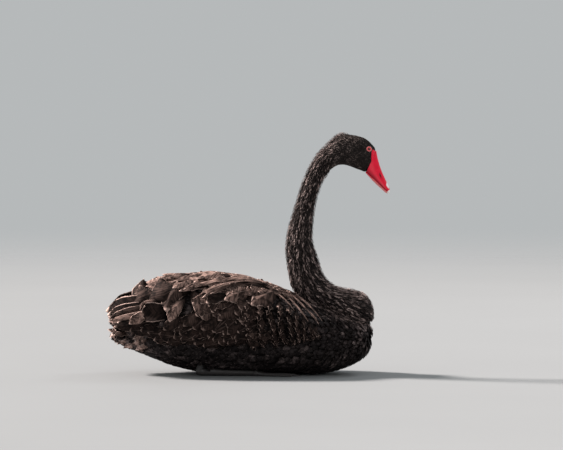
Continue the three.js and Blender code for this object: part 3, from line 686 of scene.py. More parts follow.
class Surface:
    """The finished skin, to place feathers on."""

    def __init__(self, obj):
        self.points, self.triangles = mesh_arrays(obj)
        mesh = obj.data
        loops = np.empty(len(mesh.loop_triangles) * 3, np.int32)
        mesh.loop_triangles.foreach_get("loops", loops)
        uv = np.empty(len(mesh.loops) * 2, np.float32)
        mesh.uv_layers["OFBake"].uv.foreach_get("vector", uv)
        self.uv = uv.reshape(-1, 2)[loops].reshape(-1, 3, 2)
        self.normals = vertex_normals(obj)
        self.tree = BVHTree.FromPolygons(self.points.tolist(), self.triangles.tolist())

    def nearest(self, points):
        """Nearest points of the skin, smooth normals and places on its unwrap."""
        found = [self.tree.find_nearest(p) for p in points.tolist()]
        at = np.array([f[0] for f in found])
        index = np.array([f[2] for f in found])
        corners = self.points[self.triangles[index]]
        a = corners[:, 1] - corners[:, 0]
        b = corners[:, 2] - corners[:, 0]
        p = at - corners[:, 0]
        aa, ab, bb = (a * a).sum(1), (a * b).sum(1), (b * b).sum(1)
        pa, pb = (p * a).sum(1), (p * b).sum(1)
        base = np.maximum(aa * bb - ab * ab, 1e-30)
        v = (bb * pa - ab * pb) / base
        w = (aa * pb - ab * pa) / base
        weight = np.clip(np.stack([1 - v - w, v, w], -1), 0, 1)
        weight /= weight.sum(1, keepdims=True)
        normal = unit((self.normals[self.triangles[index]] * weight[..., None]).sum(1))
        uv = (self.uv[index] * weight[..., None]).sum(1)
        return at, normal, uv

    def scatter(self, spacing, keep, seed):
        """Evenly spread points, at a spacing of their own, where keep allows them."""
        draw = np.random.default_rng(seed)
        corners = self.points[self.triangles]
        middle = corners.mean(1)
        wanted = keep(middle)
        gap = spacing(middle)
        across = np.cross(corners[:, 1] - corners[:, 0], corners[:, 2] - corners[:, 0])
        area = np.linalg.norm(across, axis=1) / 2
        count = draw.poisson(np.where(wanted, TRIES * area / gap**2, 0))
        index = np.repeat(np.arange(len(count)), count)
        a, b = draw.random((2, len(index)))
        flip = a + b > 1
        a, b = np.where(flip, 1 - a, a), np.where(flip, 1 - b, b)
        c = corners[index]
        points = c[:, 0] + a[:, None] * (c[:, 1] - c[:, 0]) + b[:, None] * (c[:, 2] - c[:, 0])
        order = draw.permutation(len(points))
        points = points[order]
        radius = spacing(points)
        tree = kdtree.KDTree(len(points))
        for i, point in enumerate(points):
            tree.insert(point, i)
        tree.balance()
        gone = np.zeros(len(points), bool)
        kept = []
        for i, point in enumerate(points):
            if gone[i]:
                continue
            kept.append(i)
            for _, j, _ in tree.find_range(point, radius[i]):
                gone[j] = True
        return points[kept]


# Feathers


class Vane:
    """The pattern of one kind of feather: a lens-shaped plate over a grid, closed round its rim."""

    def __init__(self, rows, columns, outline, rounding):
        self.rounding = rounding
        self.v = np.linspace(0, 1, rows)
        self.u = np.linspace(-1, 1, columns)
        self.half = between(outline, self.v)[:, 1]
        under = np.arange(rows * columns).reshape(rows, columns)
        self.inner = np.zeros((rows, columns), bool)
        self.inner[1:-1, 1:-1] = True
        under[self.inner] = rows * columns + np.arange(self.inner.sum())
        quads = grid_faces(rows, columns)
        self.faces = np.concatenate([quads, under.ravel()[quads[:, [0, 3, 2, 1]]]])
        grid = np.stack(np.broadcast_arrays(self.u / 2 + 0.5, self.v[:, None]), -1)
        self.place = np.concatenate([grid.reshape(-1, 2), grid[self.inner]])


BODY_OUTLINE = [(0, 0.35), (0.3, 0.85), (0.6, 1), (0.85, 0.85), (1, 0.3)]
ROUND_OUTLINE = [(0, 0.4), (0.3, 0.85), (0.55, 1), (0.78, 0.95), (0.92, 0.7), (1, 0.32)]
NARROW_OUTLINE = [(0, 0.5), (0.4, 1), (0.75, 0.8), (1, 0.12)]
WIDE_OUTLINE = [(0, 0.3), (0.15, 0.62), (0.4, 0.93), (0.65, 1), (0.86, 0.86), (0.96, 0.58), (1, 0.3)]
LONG_OUTLINE = [(0, 0.4), (0.2, 0.8), (0.5, 1), (0.8, 0.88), (0.94, 0.6), (1, 0.22)]
KITE_OUTLINE = [(0, 0.3), (0.25, 0.75), (0.48, 1), (0.62, 0.84), (0.8, 0.46), (1, 0.05)]
BLUNT_OUTLINE = [(0, 0.4), (0.3, 0.85), (0.6, 1), (0.84, 0.96), (0.95, 0.78), (1, 0.52)]
KEEL = 1.35  # the lower, the sharper the crease along a feather's shaft
RIDGE = 0.06  # height of the shaft, as a share of half the width
THINNER = 0.6  # how much thinner a feather is at its tip, as a share
# Waves of a frayed edge, in radians along the feather, with their shares.
FRAY_WAVES = ((19, 0.6), (41, 0.4))
FRAY_SLANT = 3
# Waves of a rippled vane: radians along it and across it.
FOLD_WAVE = (8, 1.5)
FRILL_WAVE = (21, 2)
FRILL = 0.5

PATTERNS = {
    "velvet": Vane(3, 3, NARROW_OUTLINE, 0.3),
    "tuft": Vane(4, 3, NARROW_OUTLINE, 0.3),
    "body": Vane(6, 5, BODY_OUTLINE, 0.22),
    "long": Vane(22, 9, LONG_OUTLINE, 0.1),
    "wide": Vane(20, 13, WIDE_OUTLINE, 0.1),
    "small": Vane(11, 7, ROUND_OUTLINE, 0.24),
    "kite": Vane(18, 13, KITE_OUTLINE, 0.06),
    "blunt": Vane(20, 15, BLUNT_OUTLINE, 0.16),
}
WING_PATTERNS = ("long", "wide", "small", "kite", "blunt")
# Widths of a larger feather's patch on the unwrap, where roots stand further apart.
WING_PATCH = 0.012
TAIL_PATCH = 0.01
RUMP_PATCH = 0.006


def feathers(name, pattern, shafts, normals, widths, roots_uv, material, seed, patch, **shape):
    """One piece of many feathers. Each shaft is a curve through three points, with three normals."""
    kind = PATTERNS[pattern]
    draw = np.random.default_rng(seed)
    count = len(shafts)

    def each(key, usual=0.0):
        return np.broadcast_to(np.asarray(shape.get(key, usual), float), (count,))

    def curve(start, control, end):
        return sum(b[None, :, None] * p[:, None] for b, p in zip(bend, (start, control, end)))

    names = ("tilt", "cup", "thick", "fray", "curl", "ripple")
    tilt, cup, thick, fray, curl, ripple = (each(key)[:, None, None] for key in names)
    v = kind.v[None, :, None]
    u = kind.u[None, None, :]
    bend = [(1 - kind.v) ** 2, 2 * kind.v * (1 - kind.v), kind.v**2]
    root, middle, tip = shafts[:, 0], shafts[:, 1], shafts[:, 2]
    control = 2 * middle - (root + tip) / 2
    line = curve(root, control, tip)
    way = unit(
        (2 * (1 - kind.v))[None, :, None] * (control - root)[:, None]
        + (2 * kind.v)[None, :, None] * (tip - control)[:, None]
    )
    up_control = 2 * normals[:, 1] - (normals[:, 0] + normals[:, 2]) / 2
    up = curve(normals[:, 0], up_control, normals[:, 2])
    up = unit(up - (up * way).sum(-1, keepdims=True) * way)
    side = np.cross(way, up)
    length = np.linalg.norm(tip - root, axis=1)[:, None, None]
    half = np.asarray(widths)[:, None, None] / 2 * kind.half[None, :, None]
    wave = draw.uniform(0, 2 * np.pi, (2, count, 1, 1))
    (slow, much), (fast, little) = FRAY_WAVES
    ragged = np.sin(v * slow + wave[0] + u * FRAY_SLANT) * much + np.sin(v * fast + wave[1]) * little
    half = half * (1 + fray * ragged)
    lean = tilt * np.minimum(1, 2 * v)
    across = half * u * np.cos(lean)
    ends = -kind.rounding * length * v**3 * u**2
    ridge = RIDGE * half * np.maximum(0, 1 - np.abs(u) * 3)
    high = half * u * np.sin(lean) - cup * half * np.abs(u) ** KEEL + ridge + curl * length * v**3
    fold = np.abs(u) * np.sin(FOLD_WAVE[0] * v + FOLD_WAVE[1] * u + wave[1])
    frill = np.sin(FRILL_WAVE[0] * v + FRILL_WAVE[1] * u + wave[0])
    frill = FRILL * np.abs(u) ** 3 * frill
    high = high + ripple * half * (fold + frill) * v
    flat = (
        line[:, :, None]
        + side[:, :, None] * across[..., None]
        + way[:, :, None] * ends[..., None]
        + up[:, :, None] * high[..., None]
    )
    lens = thick * (1 - THINNER * v) * (1 - u**2)
    under = flat - up[:, :, None] * lens[..., None]
    points = np.concatenate([flat.reshape(count, -1, 3), under[:, kind.inner]], 1)
    size = points.shape[1]
    faces = (kind.faces[None] + (np.arange(count) * size)[:, None, None]).reshape(-1, 4)
    obj = add_mesh(name, points.reshape(-1, 3), faces, material)
    place = np.broadcast_to(kind.place, (count, size, 2))
    spot = roots_uv[:, None] + patch * (place - 0.5)
    corners = faces.ravel()
    add_uv(obj.data, "OFBake", spot.reshape(-1, 2)[corners])
    add_uv(obj.data, "Feather", place.reshape(-1, 2)[corners])
    for key, usual in (("tone", 0.5), ("quill", 0.0), ("rim", 1.0)):
        add_value(obj.data, key, np.repeat(each(key, usual), size))
    return obj


BODY_LIE = np.array([-1.0, 0, -0.16])
BAKE_PATCH = 0.003  # width of a small feather's own patch on the unwrap
LENGTH_CHANCE = (0.88, 1.12)
MIDDLE_LIFT = 0.55  # as a share of the tip's


def lie(points, normals):
    """The way that the plumage lies: down the neck and forward over its lobe, back over the body."""
    place, share = neck_place(points)
    on_neck = 1 - smoothstep(1.05, 1.3, share)
    way = on_neck[:, None] * LINE_WAY[place] + (1 - on_neck)[:, None] * BODY_LIE
    way -= (way * normals).sum(1, keepdims=True) * normals
    return unit(way)


def laid(surface, points, length, lift, sink, seed, sway=0.12):
    """Shafts and normals of feathers that lie along the skin from their roots."""
    draw = np.random.default_rng(seed)
    at, normal, uv = surface.nearest(points)
    way = lie(at, normal)
    side = np.cross(way, normal)
    way = unit(way + side * draw.normal(0, sway, (len(way), 1)))
    size = length * draw.uniform(*LENGTH_CHANCE, len(points))
    half, half_normal, _ = surface.nearest(at + way * (size / 2)[:, None])
    way_on = unit(lie(half, half_normal) + side * draw.normal(0, sway, (len(way), 1)))
    end, end_normal, _ = surface.nearest(half + way_on * (size / 2)[:, None])
    lift = np.broadcast_to(lift, size.shape)
    middle = half + half_normal * (MIDDLE_LIFT * lift)[:, None]
    shafts = np.stack([at - normal * sink, middle, end + end_normal * lift[:, None]], 1)
    return shafts, np.stack([normal, half_normal, end_normal], 1), uv


def pieces(name, pattern, material, slot, limit, laid_out, widths, seed, **shape):
    """Feathers split into pieces of no more than a number of them, by their place along the bird."""
    shafts, normals, uv = laid_out
    order = np.argsort(shafts[:, 0, 2] * 0.2 + shafts[:, 0, 0])
    for k, part in enumerate(np.array_split(order, math.ceil(len(order) / limit))):
        given = {key: value[part] if np.ndim(value) else value for key, value in shape.items()}
        obj = feathers(
            f"{name}_{k + 1}", pattern, shafts[part], normals[part], widths[part], uv[part],
            material, seed + k, BAKE_PATCH, **given,
        )
        own(obj, slot)


# The head's bare skin in side view, in millimetres: behind it the velvet begins.
LORE_BACK = [(236.5, 427.2), (234.6, 424), (233.8, 412), (233.4, 399), (229.5, 390), (224.5, 384.2)]
LORE_FOOT = 380
BILL_ROOT = np.array([(243.6, 422.9), (225.4, 383.6)])


def on_lore(points):
    """Whether points of the head lie on the bare skin or the bill in front of it."""
    x = points[:, 0] / MM
    z = points[:, 2] / MM
    edge = np.interp(z, *np.array([(b, a) for a, b in LORE_BACK[::-1]]).T)
    return (x > edge) & (z < LORE_BACK[0][1]) & (z > LORE_FOOT)


def near_eye(points, radius):
    return np.hypot(points[:, 0] - EYE[0], points[:, 2] - EYE[2]) < radius


def patchy(points, size, seed):
    """Soft chance pattern from -1 to 1, with patches of about a size."""
    draw = np.random.default_rng(seed)
    ways = unit(draw.normal(0, 1, (7, 3))) * 2 * np.pi / size
    waves = np.sin(points @ ways.T * draw.uniform(0.6, 1.4, 7) + draw.uniform(0, 6, 7))
    return np.clip(waves.sum(1) / 3, -1, 1)


def around_neck(points):
    """Run down the neck's line, share of its radius, and throat side from -1 at the nape to 1."""
    place, share = neck_place(points)
    out = points - LINE[place]
    throat = (unit(out) * np.cross(LINE_WAY[place], (0, 1, 0))).sum(1)
    return LINE_LENGTH[place], share, throat


def neck_angle(points):
    """Angle round the neck's line, 0 at the throat."""
    place, _ = neck_place(points)
    out = points - LINE[place]
    return np.arctan2(out[:, 1], (out * np.cross(LINE_WAY[place], (0, 1, 0))).sum(1))


FURROWS = 13  # round the neck
FURROW_WANDER = 1.7
STRAND_WAVES = 8
STRAND_COUNTS = (14, 34)  # round the neck
STRAND_BENDS = (7 * MM, 14 * MM)


def furrows(angle, run):
    """Long wavy ridges that run down the neck, from -1 to 1."""
    wander = 0.5 * np.sin(run / (21 * MM) + 2 * angle) + 0.35 * np.sin(run / (9 * MM) - 3 * angle)
    return np.sin(FURROWS * angle + FURROW_WANDER * wander)


def strands(angle, run, seed):
    """Fine wavy streaks that run down the neck, from -1 to 1, along which highlights are painted."""
    draw = np.random.default_rng(seed)
    total = np.zeros(len(angle))
    for _ in range(STRAND_WAVES):
        count = draw.integers(*STRAND_COUNTS)
        bend = draw.choice([-1, 1]) / draw.uniform(*STRAND_BENDS)
        total += np.sin(count * angle + bend * run + draw.uniform(0, 2 * np.pi))
    return np.clip(total / 2.4, -1, 1)


# Feathers in one piece at most.
VELVET_PIECE = 11000
NECK_PIECE = 7500
BODY_PIECE = 2200

# Small feathers over head, neck and body. Of each pair of sizes, in millimetres, the first is the
# size where a part begins and the second what is added by its end. The tones say how pale each
# part is and how much its patterns add to that; much of it is painted light and shade.

# The velvet of the head gives way to the neck's feathers this far down the line, later at the throat.
VELVET_END = 80 * MM
VELVET_SLANT = 26 * MM
VELVET_RAGGED = 5 * MM
VELVET_OVERLAP = 8 * MM
VELVET_SPACING = (1.45, 0.75)
VELVET_LENGTH = (3.4, 4.6)
VELVET_WIDTH = (1.5, 1.1)
VELVET_LIFT = (0.6, 0.9)
# The nape share is a painted highlight on the nape side.
VELVET_TONE = {"all": 0.36, "patches": 0.34, "specks": 0.32, "nape": 0.35, "chance": 0.14}
EYE_CLEAR = 5.6 * MM


def from_velvet(points):
    """How far points lie past the velvet's end, share of the neck's radius, and throat side."""
    run, share, throat = around_neck(points)
    ragged = VELVET_RAGGED * patchy(points, 14 * MM, 2)
    return run - VELVET_SLANT * throat + ragged - VELVET_END, share, throat


def head_velvet(surface):
    def keep(points):
        past, share, _ = from_velvet(points)
        clear = ~on_lore(points) & ~near_eye(points, EYE_CLEAR)
        return (past < VELVET_OVERLAP) & (share < 1.4) & clear

    def spacing(points):
        return raised(VELVET_SPACING, smoothstep(-50 * MM, 5 * MM, from_velvet(points)[0]))

    roots = surface.scatter(spacing, keep, 3)
    past, _, throat = from_velvet(roots)
    grown = smoothstep(-45 * MM, 5 * MM, past)
    lift = raised(VELVET_LIFT, grown)
    laid_out = laid(surface, roots, raised(VELVET_LENGTH, grown), lift, 0.5 * MM, 4, sway=0.2)
    t = VELVET_TONE
    tone = t["all"] + t["patches"] * patchy(roots, 9 * MM, 5) + t["specks"] * patchy(roots, 4 * MM, 15)
    # Painted highlight on the nape side, which faces the key light.
    tone = tone + t["nape"] * grown * smoothstep(0.2, -0.6, throat)
    tone = tone + np.random.default_rng(6).normal(0, t["chance"], len(roots))
    pieces(
        "head_velvet", "velvet", head_vane, "neck_plumage", VELVET_PIECE, laid_out,
        raised(VELVET_WIDTH, grown), 5, cup=0.3, thick=0.35 * MM, tone=np.clip(tone, 0, 1),
    )


NECK_SPACING = (1.9, 0.7)
NECK_LENGTH = (8.5, 8)
NECK_WIDTH = (1.8, 1.2)
NECK_LIFT = {"all": 1.6, "grown": 1.6, "nape": 1.3, "furrow": 0.9, "chance": (-0.5, 0.9)}
# Most of these tones are painted light: highlights along the strands and on the nape and its side,
# painted shade in the furrows' grooves, and on the lobe a lit top and shaded sides.
NECK_TONE = {
    "all": 0.14, "strands": 1.1, "furrows": 0.14, "nape": 0.25, "nape_side_light": 0.12, "grown": 0.08,
    "lobe_top_light": 0.42, "lobe_side_shade": 0.24, "chance": 0.15,
}


def neck_feathers(surface):
    """Tufts down the neck, drawn together into furrows, with painted highlights along wavy strand lines
    and on the nape, and painted shade in the furrows' grooves.
    """

    def keep(points):
        past, share, _ = from_velvet(points)
        return (past >= 0) & (share < 1.25)

    def spacing(points):
        return raised(NECK_SPACING, smoothstep(150 * MM, 420 * MM, around_neck(points)[0]))

    roots = surface.scatter(spacing, keep, 7)
    run, _, throat = around_neck(roots)
    grown = smoothstep(90 * MM, 430 * MM, run)
    nape = smoothstep(0.3, -0.7, throat) * smoothstep(210 * MM, 90 * MM, run)
    angle = neck_angle(roots)
    furrow = furrows(angle, run)
    strand = np.maximum(strands(angle, run, 21), 0) ** 1.3
    draw = np.random.default_rng(9)
    t = NECK_LIFT
    lift = t["all"] + t["grown"] * grown + t["nape"] * nape + t["furrow"] * furrow
    lift = (lift + draw.uniform(*t["chance"], len(roots))) * MM
    laid_out = laid(surface, roots, raised(NECK_LENGTH, grown), lift, 1 * MM, 8, sway=0.24)
    shafts, normals, _ = laid_out
    shafts[:, 1:] += normals[:, 1:] * (furrow * t["furrow"] * MM)[:, None, None]
    t = NECK_TONE
    # Painted light on the lobe: paler where it faces up, painted shade on its sides.
    top = smoothstep(0.3, 0.8, normals[:, 0, 2])
    lobe = smoothstep(330 * MM, 400 * MM, run) * (t["lobe_top_light"] * top - t["lobe_side_shade"] * (1 - top))
    # Painted highlights along the strands and on the nape, and painted shade in the furrows' grooves.
    tone = t["all"] + t["strands"] * strand + t["furrows"] * furrow + nape * (t["nape"] + strand)
    tone = tone + t["nape_side_light"] * smoothstep(0.5, -0.5, throat) + t["grown"] * grown + lobe
    tone = np.clip(tone + draw.normal(0, t["chance"], len(roots)), 0, 1)
    pieces(
        "neck_feathers", "tuft", neck_vane, "neck_plumage", NECK_PIECE, laid_out,
        raised(NECK_WIDTH, grown), 10, cup=0.35, thick=0.5 * MM, tone=tone,
    )


BODY_SPACING = (8.5, -3.5)
BODY_LENGTH = (27, -10)
BODY_WIDTH = (18, -7)
BODY_LIFT = (3.2, 2.6)
BODY_FOOT = 1.2 * MM
# The rear and breast shares are painted light: paler feathers in the rear's shade, and a sheen on the
# breast.
BODY_TONE = {"all": 0.26, "patches": 0.22, "rear": 0.35, "breast": 0.4, "chance": 0.12}
# A painted sheen low on the right of the breast: paler feathers there.
BREAST_SHEEN = np.array([216, -45, 84]) * MM
BREAST_SHEEN_SIZE = np.array([20, 60, 15]) * MM


def body_feathers(surface):
    """Small feathers of the body, ruffled under the rear, with painted light there: paler tones and
    brighter rims.
    """

    def keep(points):
        _, share = neck_place(points)
        return (share >= 1.2) & (points[:, 2] > BODY_FOOT)

    def to_front(points):
        return smoothstep(90 * MM, 200 * MM, points[:, 0])

    roots = surface.scatter(lambda points: raised(BODY_SPACING, to_front(points)), keep, 11)
    front = to_front(roots)
    laid_out = laid(surface, roots, raised(BODY_LENGTH, front), raised(BODY_LIFT, front), 2 * MM, 12)
    shafts = laid_out[0]
    shafts[:, :, 2] = np.maximum(shafts[:, :, 2], 0.8 * MM)
    rear = smoothstep(-150 * MM, -220 * MM, roots[:, 0])
    rear = rear * smoothstep(115 * MM, 95 * MM, roots[:, 2])
    # Painted sheen low on the breast.
    breast = np.exp(-np.linalg.norm((roots - BREAST_SHEEN) / BREAST_SHEEN_SIZE, axis=1) ** 2)
    # Painted light: the feathers under the rear, in shade from the key lamp, get paler tones and
    # brighter rims.
    t = BODY_TONE
    tone = t["all"] + t["patches"] * patchy(roots, 30 * MM, 14) + t["rear"] * rear + t["breast"] * breast
    tone = tone + np.random.default_rng(16).normal(0, t["chance"], len(roots))
    pieces(
        "body_feathers", "body", body_vane, "body_plumage", BODY_PIECE, laid_out,
        raised(BODY_WIDTH, front), 13, cup=0.3, thick=0.6 * MM, fray=0.05,
        ripple=0.12 + 0.3 * rear, tone=np.clip(tone, 0, 1), rim=0.3 + 0.7 * rear,
    )


# Wings

# Rows of feathers on each folded wing: pattern, how many, x and share of the way down at the first and
# last root, turn down in degrees there, length and width, tilt about the length.
WING_ROWS = [
    ("wide", 13, (96, -150), (0.04, 0.04), (8, 4), (56, 29), 6),
    ("wide", 13, (106, -142), (0.1, 0.12), (14, 8), (56, 29), 6),
    ("wide", 13, (114, -138), (0.17, 0.2), (20, 10), (56, 30), 6),
    ("wide", 12, (118, -134), (0.25, 0.28), (28, 16), (54, 31), 4),
    ("wide", 10, (50, -50), (0.33, 0.37), (44, 34), (50, 34), -2),
    ("wide", 8, (24, -58), (0.42, 0.46), (48, 38), (48, 35), -2),
    ("wide", 8, (20, -66), (0.51, 0.55), (50, 42), (46, 35), -2),
    ("wide", 9, (20, -74), (0.6, 0.64), (50, 42), (44, 34), -2),
    ("wide", 9, (20, -86), (0.69, 0.73), (44, 38), (42, 34), -2),
    ("wide", 10, (24, -104), (0.78, 0.81), (36, 28), (42, 32), -2),
    ("wide", 10, (40, -120), (0.87, 0.89), (28, 20), (42, 30), -2),
    ("wide", 12, (80, -130), (0.95, 0.96), (20, 12), (42, 28), -2),
    ("long", 5, (-138, -160), (0.4, 0.8), (4, 0), (98, 30), 6),
    ("wide", 7, (-112, -212), (0.93, 0.9), (4, 2), (52, 28), -2),
]
ROW_STRAY = 9  # chance turn and tilt of the feathers in a row, in degrees
# Single feathers of the right wing as the camera sees them, in millimetres: pattern, x and height of
# the root, middle and tip, width, their rise, tilt in degrees, cup, how far the feather is turned to
# face the side, ripple, tone, rim and quill.
# Tone and rim here are partly painted light: the feathers of the back, lit from above, are set paler
# than the large coverts below them.
RUFFLED = [
    # Scapulars along the back
    ("long", (53, 163), (-23, 177), (-103, 142), 8, (-7, 8, 11), -20, 0.35, 0, 0.5, 1.0, 1, 0),
    ("long", (42, 163), (-23, 173), (-86, 144), 23, (-7, 4, 7), -20, 0.4, 0, 0.4, 0.6, 1, 0),
    ("long", (4, 177), (-57, 180), (-122, 160), 19, (-7, 5, 8), -16, 0.4, 0.2, 0.5, 0.9, 1, 0),
    ("long", (38, 171), (-10, 183), (-65, 180), 19, (-7, 5, 7), -16, 0.4, 0.2, 0.4, 0.8, 1, 0),
    ("wide", (-30, 188), (-65, 190), (-99, 180), 25, (-7, 5, 7), -10, 0.45, 0.2, 0.45, 0.9, 1, 0),
    ("wide", (-72, 188), (-106, 188), (-142, 175), 25, (-7, 4, 6), -14, 0.5, 0.2, 0.45, 0.7, 1, 0),
    ("wide", (-110, 190), (-137, 191), (-165, 183), 25, (-7, 5, 10), -10, 0.5, 0.2, 0.4, 0.9, 1, 0),
    ("wide", (-68, 179), (-95, 173), (-129, 158), 25, (-7, 6, 8), -14, 0.5, 0.2, 0.4, 0.6, 1, 0),
    ("wide", (-99, 179), (-118, 177), (-141, 163), 23, (-7, 6, 9), -10, 0.5, 0.2, 0.45, 0.8, 1, 0),
    # Large coverts
    ("blunt", (21, 162), (-12, 156), (-43, 142), 36, (-7, 6, 7), -8, 0.7, 0.2, 0.05, 0.65, 0.7, 0),
    ("blunt", (60, 160), (33, 151), (7, 132), 38, (-7, 6, 7), -8, 0.7, 0.2, 0.05, 0.6, 0.7, 0),
    ("blunt", (27, 134), (6, 122), (-14, 101), 30, (-7, 5, 4), -8, 0.7, 0.2, 0.05, 0.46, 0.6, 0),
    ("blunt", (-13, 138), (-34, 125), (-55, 104), 30, (-7, 5, 4), -8, 0.7, 0.2, 0.05, 0.5, 0.6, 0),
    ("wide", (-42, 120), (-63, 104), (-84, 86), 27, (-7, 5, 8), -11, 0.8, 0, 0.15, 0.4, 0.45, 0),
    ("wide", (4, 108), (-17, 95), (-38, 78), 27, (-7, 5, 8), -11, 0.8, 0, 0.15, 0.35, 0.45, 0),
    ("wide", (-80, 125), (-101, 112), (-120, 93), 28, (-7, 5, 9), -11, 0.8, 0, 0.15, 0.5, 0.45, 0),
    ("wide", (-118, 116), (-137, 103), (-158, 86), 25, (-7, 5, 8), -11, 0.8, 0, 0.15, 0.35, 0.45, 0),
    # Curled coverts
    ("wide", (-28, 146), (-53, 146), (-78, 137), 25, (-7, 3, 2), -8, -0.3, 0, 0.25, 0.3, 1, 0),
    ("wide", (-106, 167), (-93, 141), (-84, 108), 25, (-5, 7, 1), 14, 0.6, 0, 0.3, 0.6, 1, 0),
    ("wide", (-72, 162), (-66, 142), (-61, 122), 19, (-5, 6, 2), 0, 0.5, 0, 0.3, 0.45, 1, 0),
    ("blunt", (-99, 160), (-135, 160), (-152, 120), 34, (-7, 8, 10), -6, 0.6, 0.3, 0.2, 0.5, 1, 0),
    ("wide", (-118, 144), (-135, 127), (-146, 101), 23, (0, 10, 8), 10, 0.5, 0.3, 0.35, 0.8, 1, 0),
    ("long", (-150, 135), (-188, 139), (-202, 122), 6, (-5, 7, 9), 0, 0.3, 0.5, 0.2, 0.8, 1, 0),
    ("blunt", (-144, 118), (-173, 118), (-201, 118), 38, (-5, 2, 8), 0, -0.4, 0, 0.1, 0.15, 1, 0),
    # Feathers that stand up in peaks
    ("kite", (-152, 134), (-160, 160), (-167, 184), 78, (-2, 9, 6), 0, 0.45, 0.5, 0.1, 0.5, 1, 0),
    ("kite", (-194, 130), (-200, 150), (-204, 169), 62, (-2, 9, 6), 0, 0.45, 0.5, 0.1, 0.52, 1, 0),
    ("kite", (-206, 144), (-201, 163), (-196, 182), 56, (-6, 0, 2), 0, 0.4, 0.4, 0.1, 0.55, 1, 0),
    # Inner flight feathers that round off the rear
    ("blunt", (-182, 139), (-224, 131), (-267, 120), 38, (-7, 5, 6), 0, 0.4, 0.85, 0.1, 0.4, 1, 0.8),
    ("blunt", (-179, 131), (-222, 124), (-264, 112), 25, (-7, 9, 9), 4, 0.4, 0.85, 0.12, 0.36, 1, 1),
    ("long", (-179, 129), (-224, 120), (-262, 106), 15, (-5, 12, 11), 8, 0.45, 0.85, 0.15, 0.55, 1, 0),
    ("long", (-163, 124), (-218, 112), (-262, 102), 11, (-5, 14, 13), 12, 0.45, 0.85, 0.15, 0.9, 1, 0),
    ("wide", (-184, 122), (-203, 110), (-222, 97), 21, (-5, 14, 13), 16, 0.4, 0.5, 0.3, 0.95, 1, 0),
]
SINGLE_STRAY = 3  # chance shift of a single feather on the left wing
SINGLE_CURL = 0.02
VANE_SINK = 7.5  # depth of a root under the wing's form
VANE_REST = 3.5


def wing_shaft(x, down, turn, length, rise_middle, rise_tip):
    """Three points along a feather's shaft over the wing's form, and the normals there."""
    angle = math.radians(turn)
    full = way_down(x)
    found = []
    for u, high in ((0, -VANE_SINK), (0.5, rise_middle - VANE_REST / 2), (1, rise_tip)):
        at = x - length * u * math.cos(angle)
        gather = min(1, way_down(at) / full)
        point, out = wing_point(at, down * gather + length * u * math.sin(angle), high)
        found.append((point[0], out[0]))
    return tuple(zip(*found))


TOP_MARGIN = 38  # no feather seen from the side roots nearer than this to the back's middle
FAR_REST = 0.5  # share of its rise that such a feather keeps on the left wing


def seen_shaft(points, rises, side, face=0):
    """The same for a single feather, given by the places where the camera sees it on the right."""
    found = []
    for (x, height), rise in zip(points, rises):
        keep = FAR_REST if side > 0 and rise > 0 else 1
        at_x, at_height = x, height
        for _ in range(3):
            down = max(down_seen(at_x, at_height), TOP_MARGIN)
            point, out = wing_point(at_x, down, rise * keep)
            seen = point[0, 2] + point[0, 1] * math.sin(CAMERA_ELEVATION)
            at_x += x - point[0, 0]
            at_height += height - seen
        if down == TOP_MARGIN and side < 0:
            point[0, 2] += height - seen
        found.append((point[0], unit((1 - face) * out[0] - face * SIDEWAYS)))
    return tuple(zip(*found))


def vane(kind, lie, width, tone, tilt=0, cup=0.3, curl=0, ripple=0.2, rim=0.6, quill=0):
    """One feather: its pattern, shaft and normals, then its shape and paint."""
    return kind, *lie, width, tilt, cup, curl, ripple, tone, rim, quill


def painted_height_light(shaft):
    """Painted light: paler tones on the back, which the key light reaches from above, darker ones lower
    down.
    """
    return 0.16 + 0.74 * smoothstep(100, 180, shaft[1][2])


FULL_WAY = 200  # where the wing's section is shorter than this, feathers are smaller


def row_feathers(draw):
    """The even rows that cover the wing."""
    made = []
    for kind, count, x, down, turn, size, tilt in WING_ROWS:
        for i in range(count):
            share = (i / (count - 1)) ** 1.2
            at = along(x, share) + draw.uniform(-4, 4)
            full = way_down(at)
            scale = min(1, max(0.6, full / FULL_WAY))
            loose = 0.25 + 0.75 * smoothstep(0.1, 0.4, down[0])
            lie = wing_shaft(
                at,
                full * along(down, share) + draw.uniform(-3, 3),
                along(turn, share) + draw.normal(0, ROW_STRAY),
                size[0] * scale * draw.uniform(*LENGTH_CHANCE),
                draw.uniform(-0.3, 2.5) * loose,
                draw.uniform(0, 4) * loose,
            )
            width = size[1] * scale * draw.uniform(0.85, 1.15)
            # Painted light: the tone follows the height, and the rim, partly a painted highlight,
            # brightens with the tone.
            tone = painted_height_light(lie[0]) + draw.normal(0, 0.13)
            made.append(
                vane(
                    kind, lie, width, tone, tilt + draw.normal(0, ROW_STRAY) * loose,
                    cup=draw.uniform(0.2, 0.6), curl=draw.uniform(-0.02, 0.07) * loose,
                    ripple=0.3, rim=np.clip(0.45 + tone, 0, 1) * draw.uniform(0.5, 1), quill=0.1,
                )
            )
    return made


def single_feathers(draw, side):
    """The feathers that stand out one by one. On the left wing they stray, and none is hollow."""
    stray = SINGLE_STRAY if side > 0 else 0
    made = []
    for kind, *points, width, rises, tilt, cup, face, ripple, tone, rim, quill in RUFFLED:
        points = np.array(points) + draw.normal(0, 1, (1, 2)) * stray
        lie = seen_shaft(points, rises, side, face)
        cup = abs(cup) if side > 0 else cup
        made.append(vane(kind, lie, width, tone, tilt, cup, SINGLE_CURL, ripple, rim, quill))
    return made


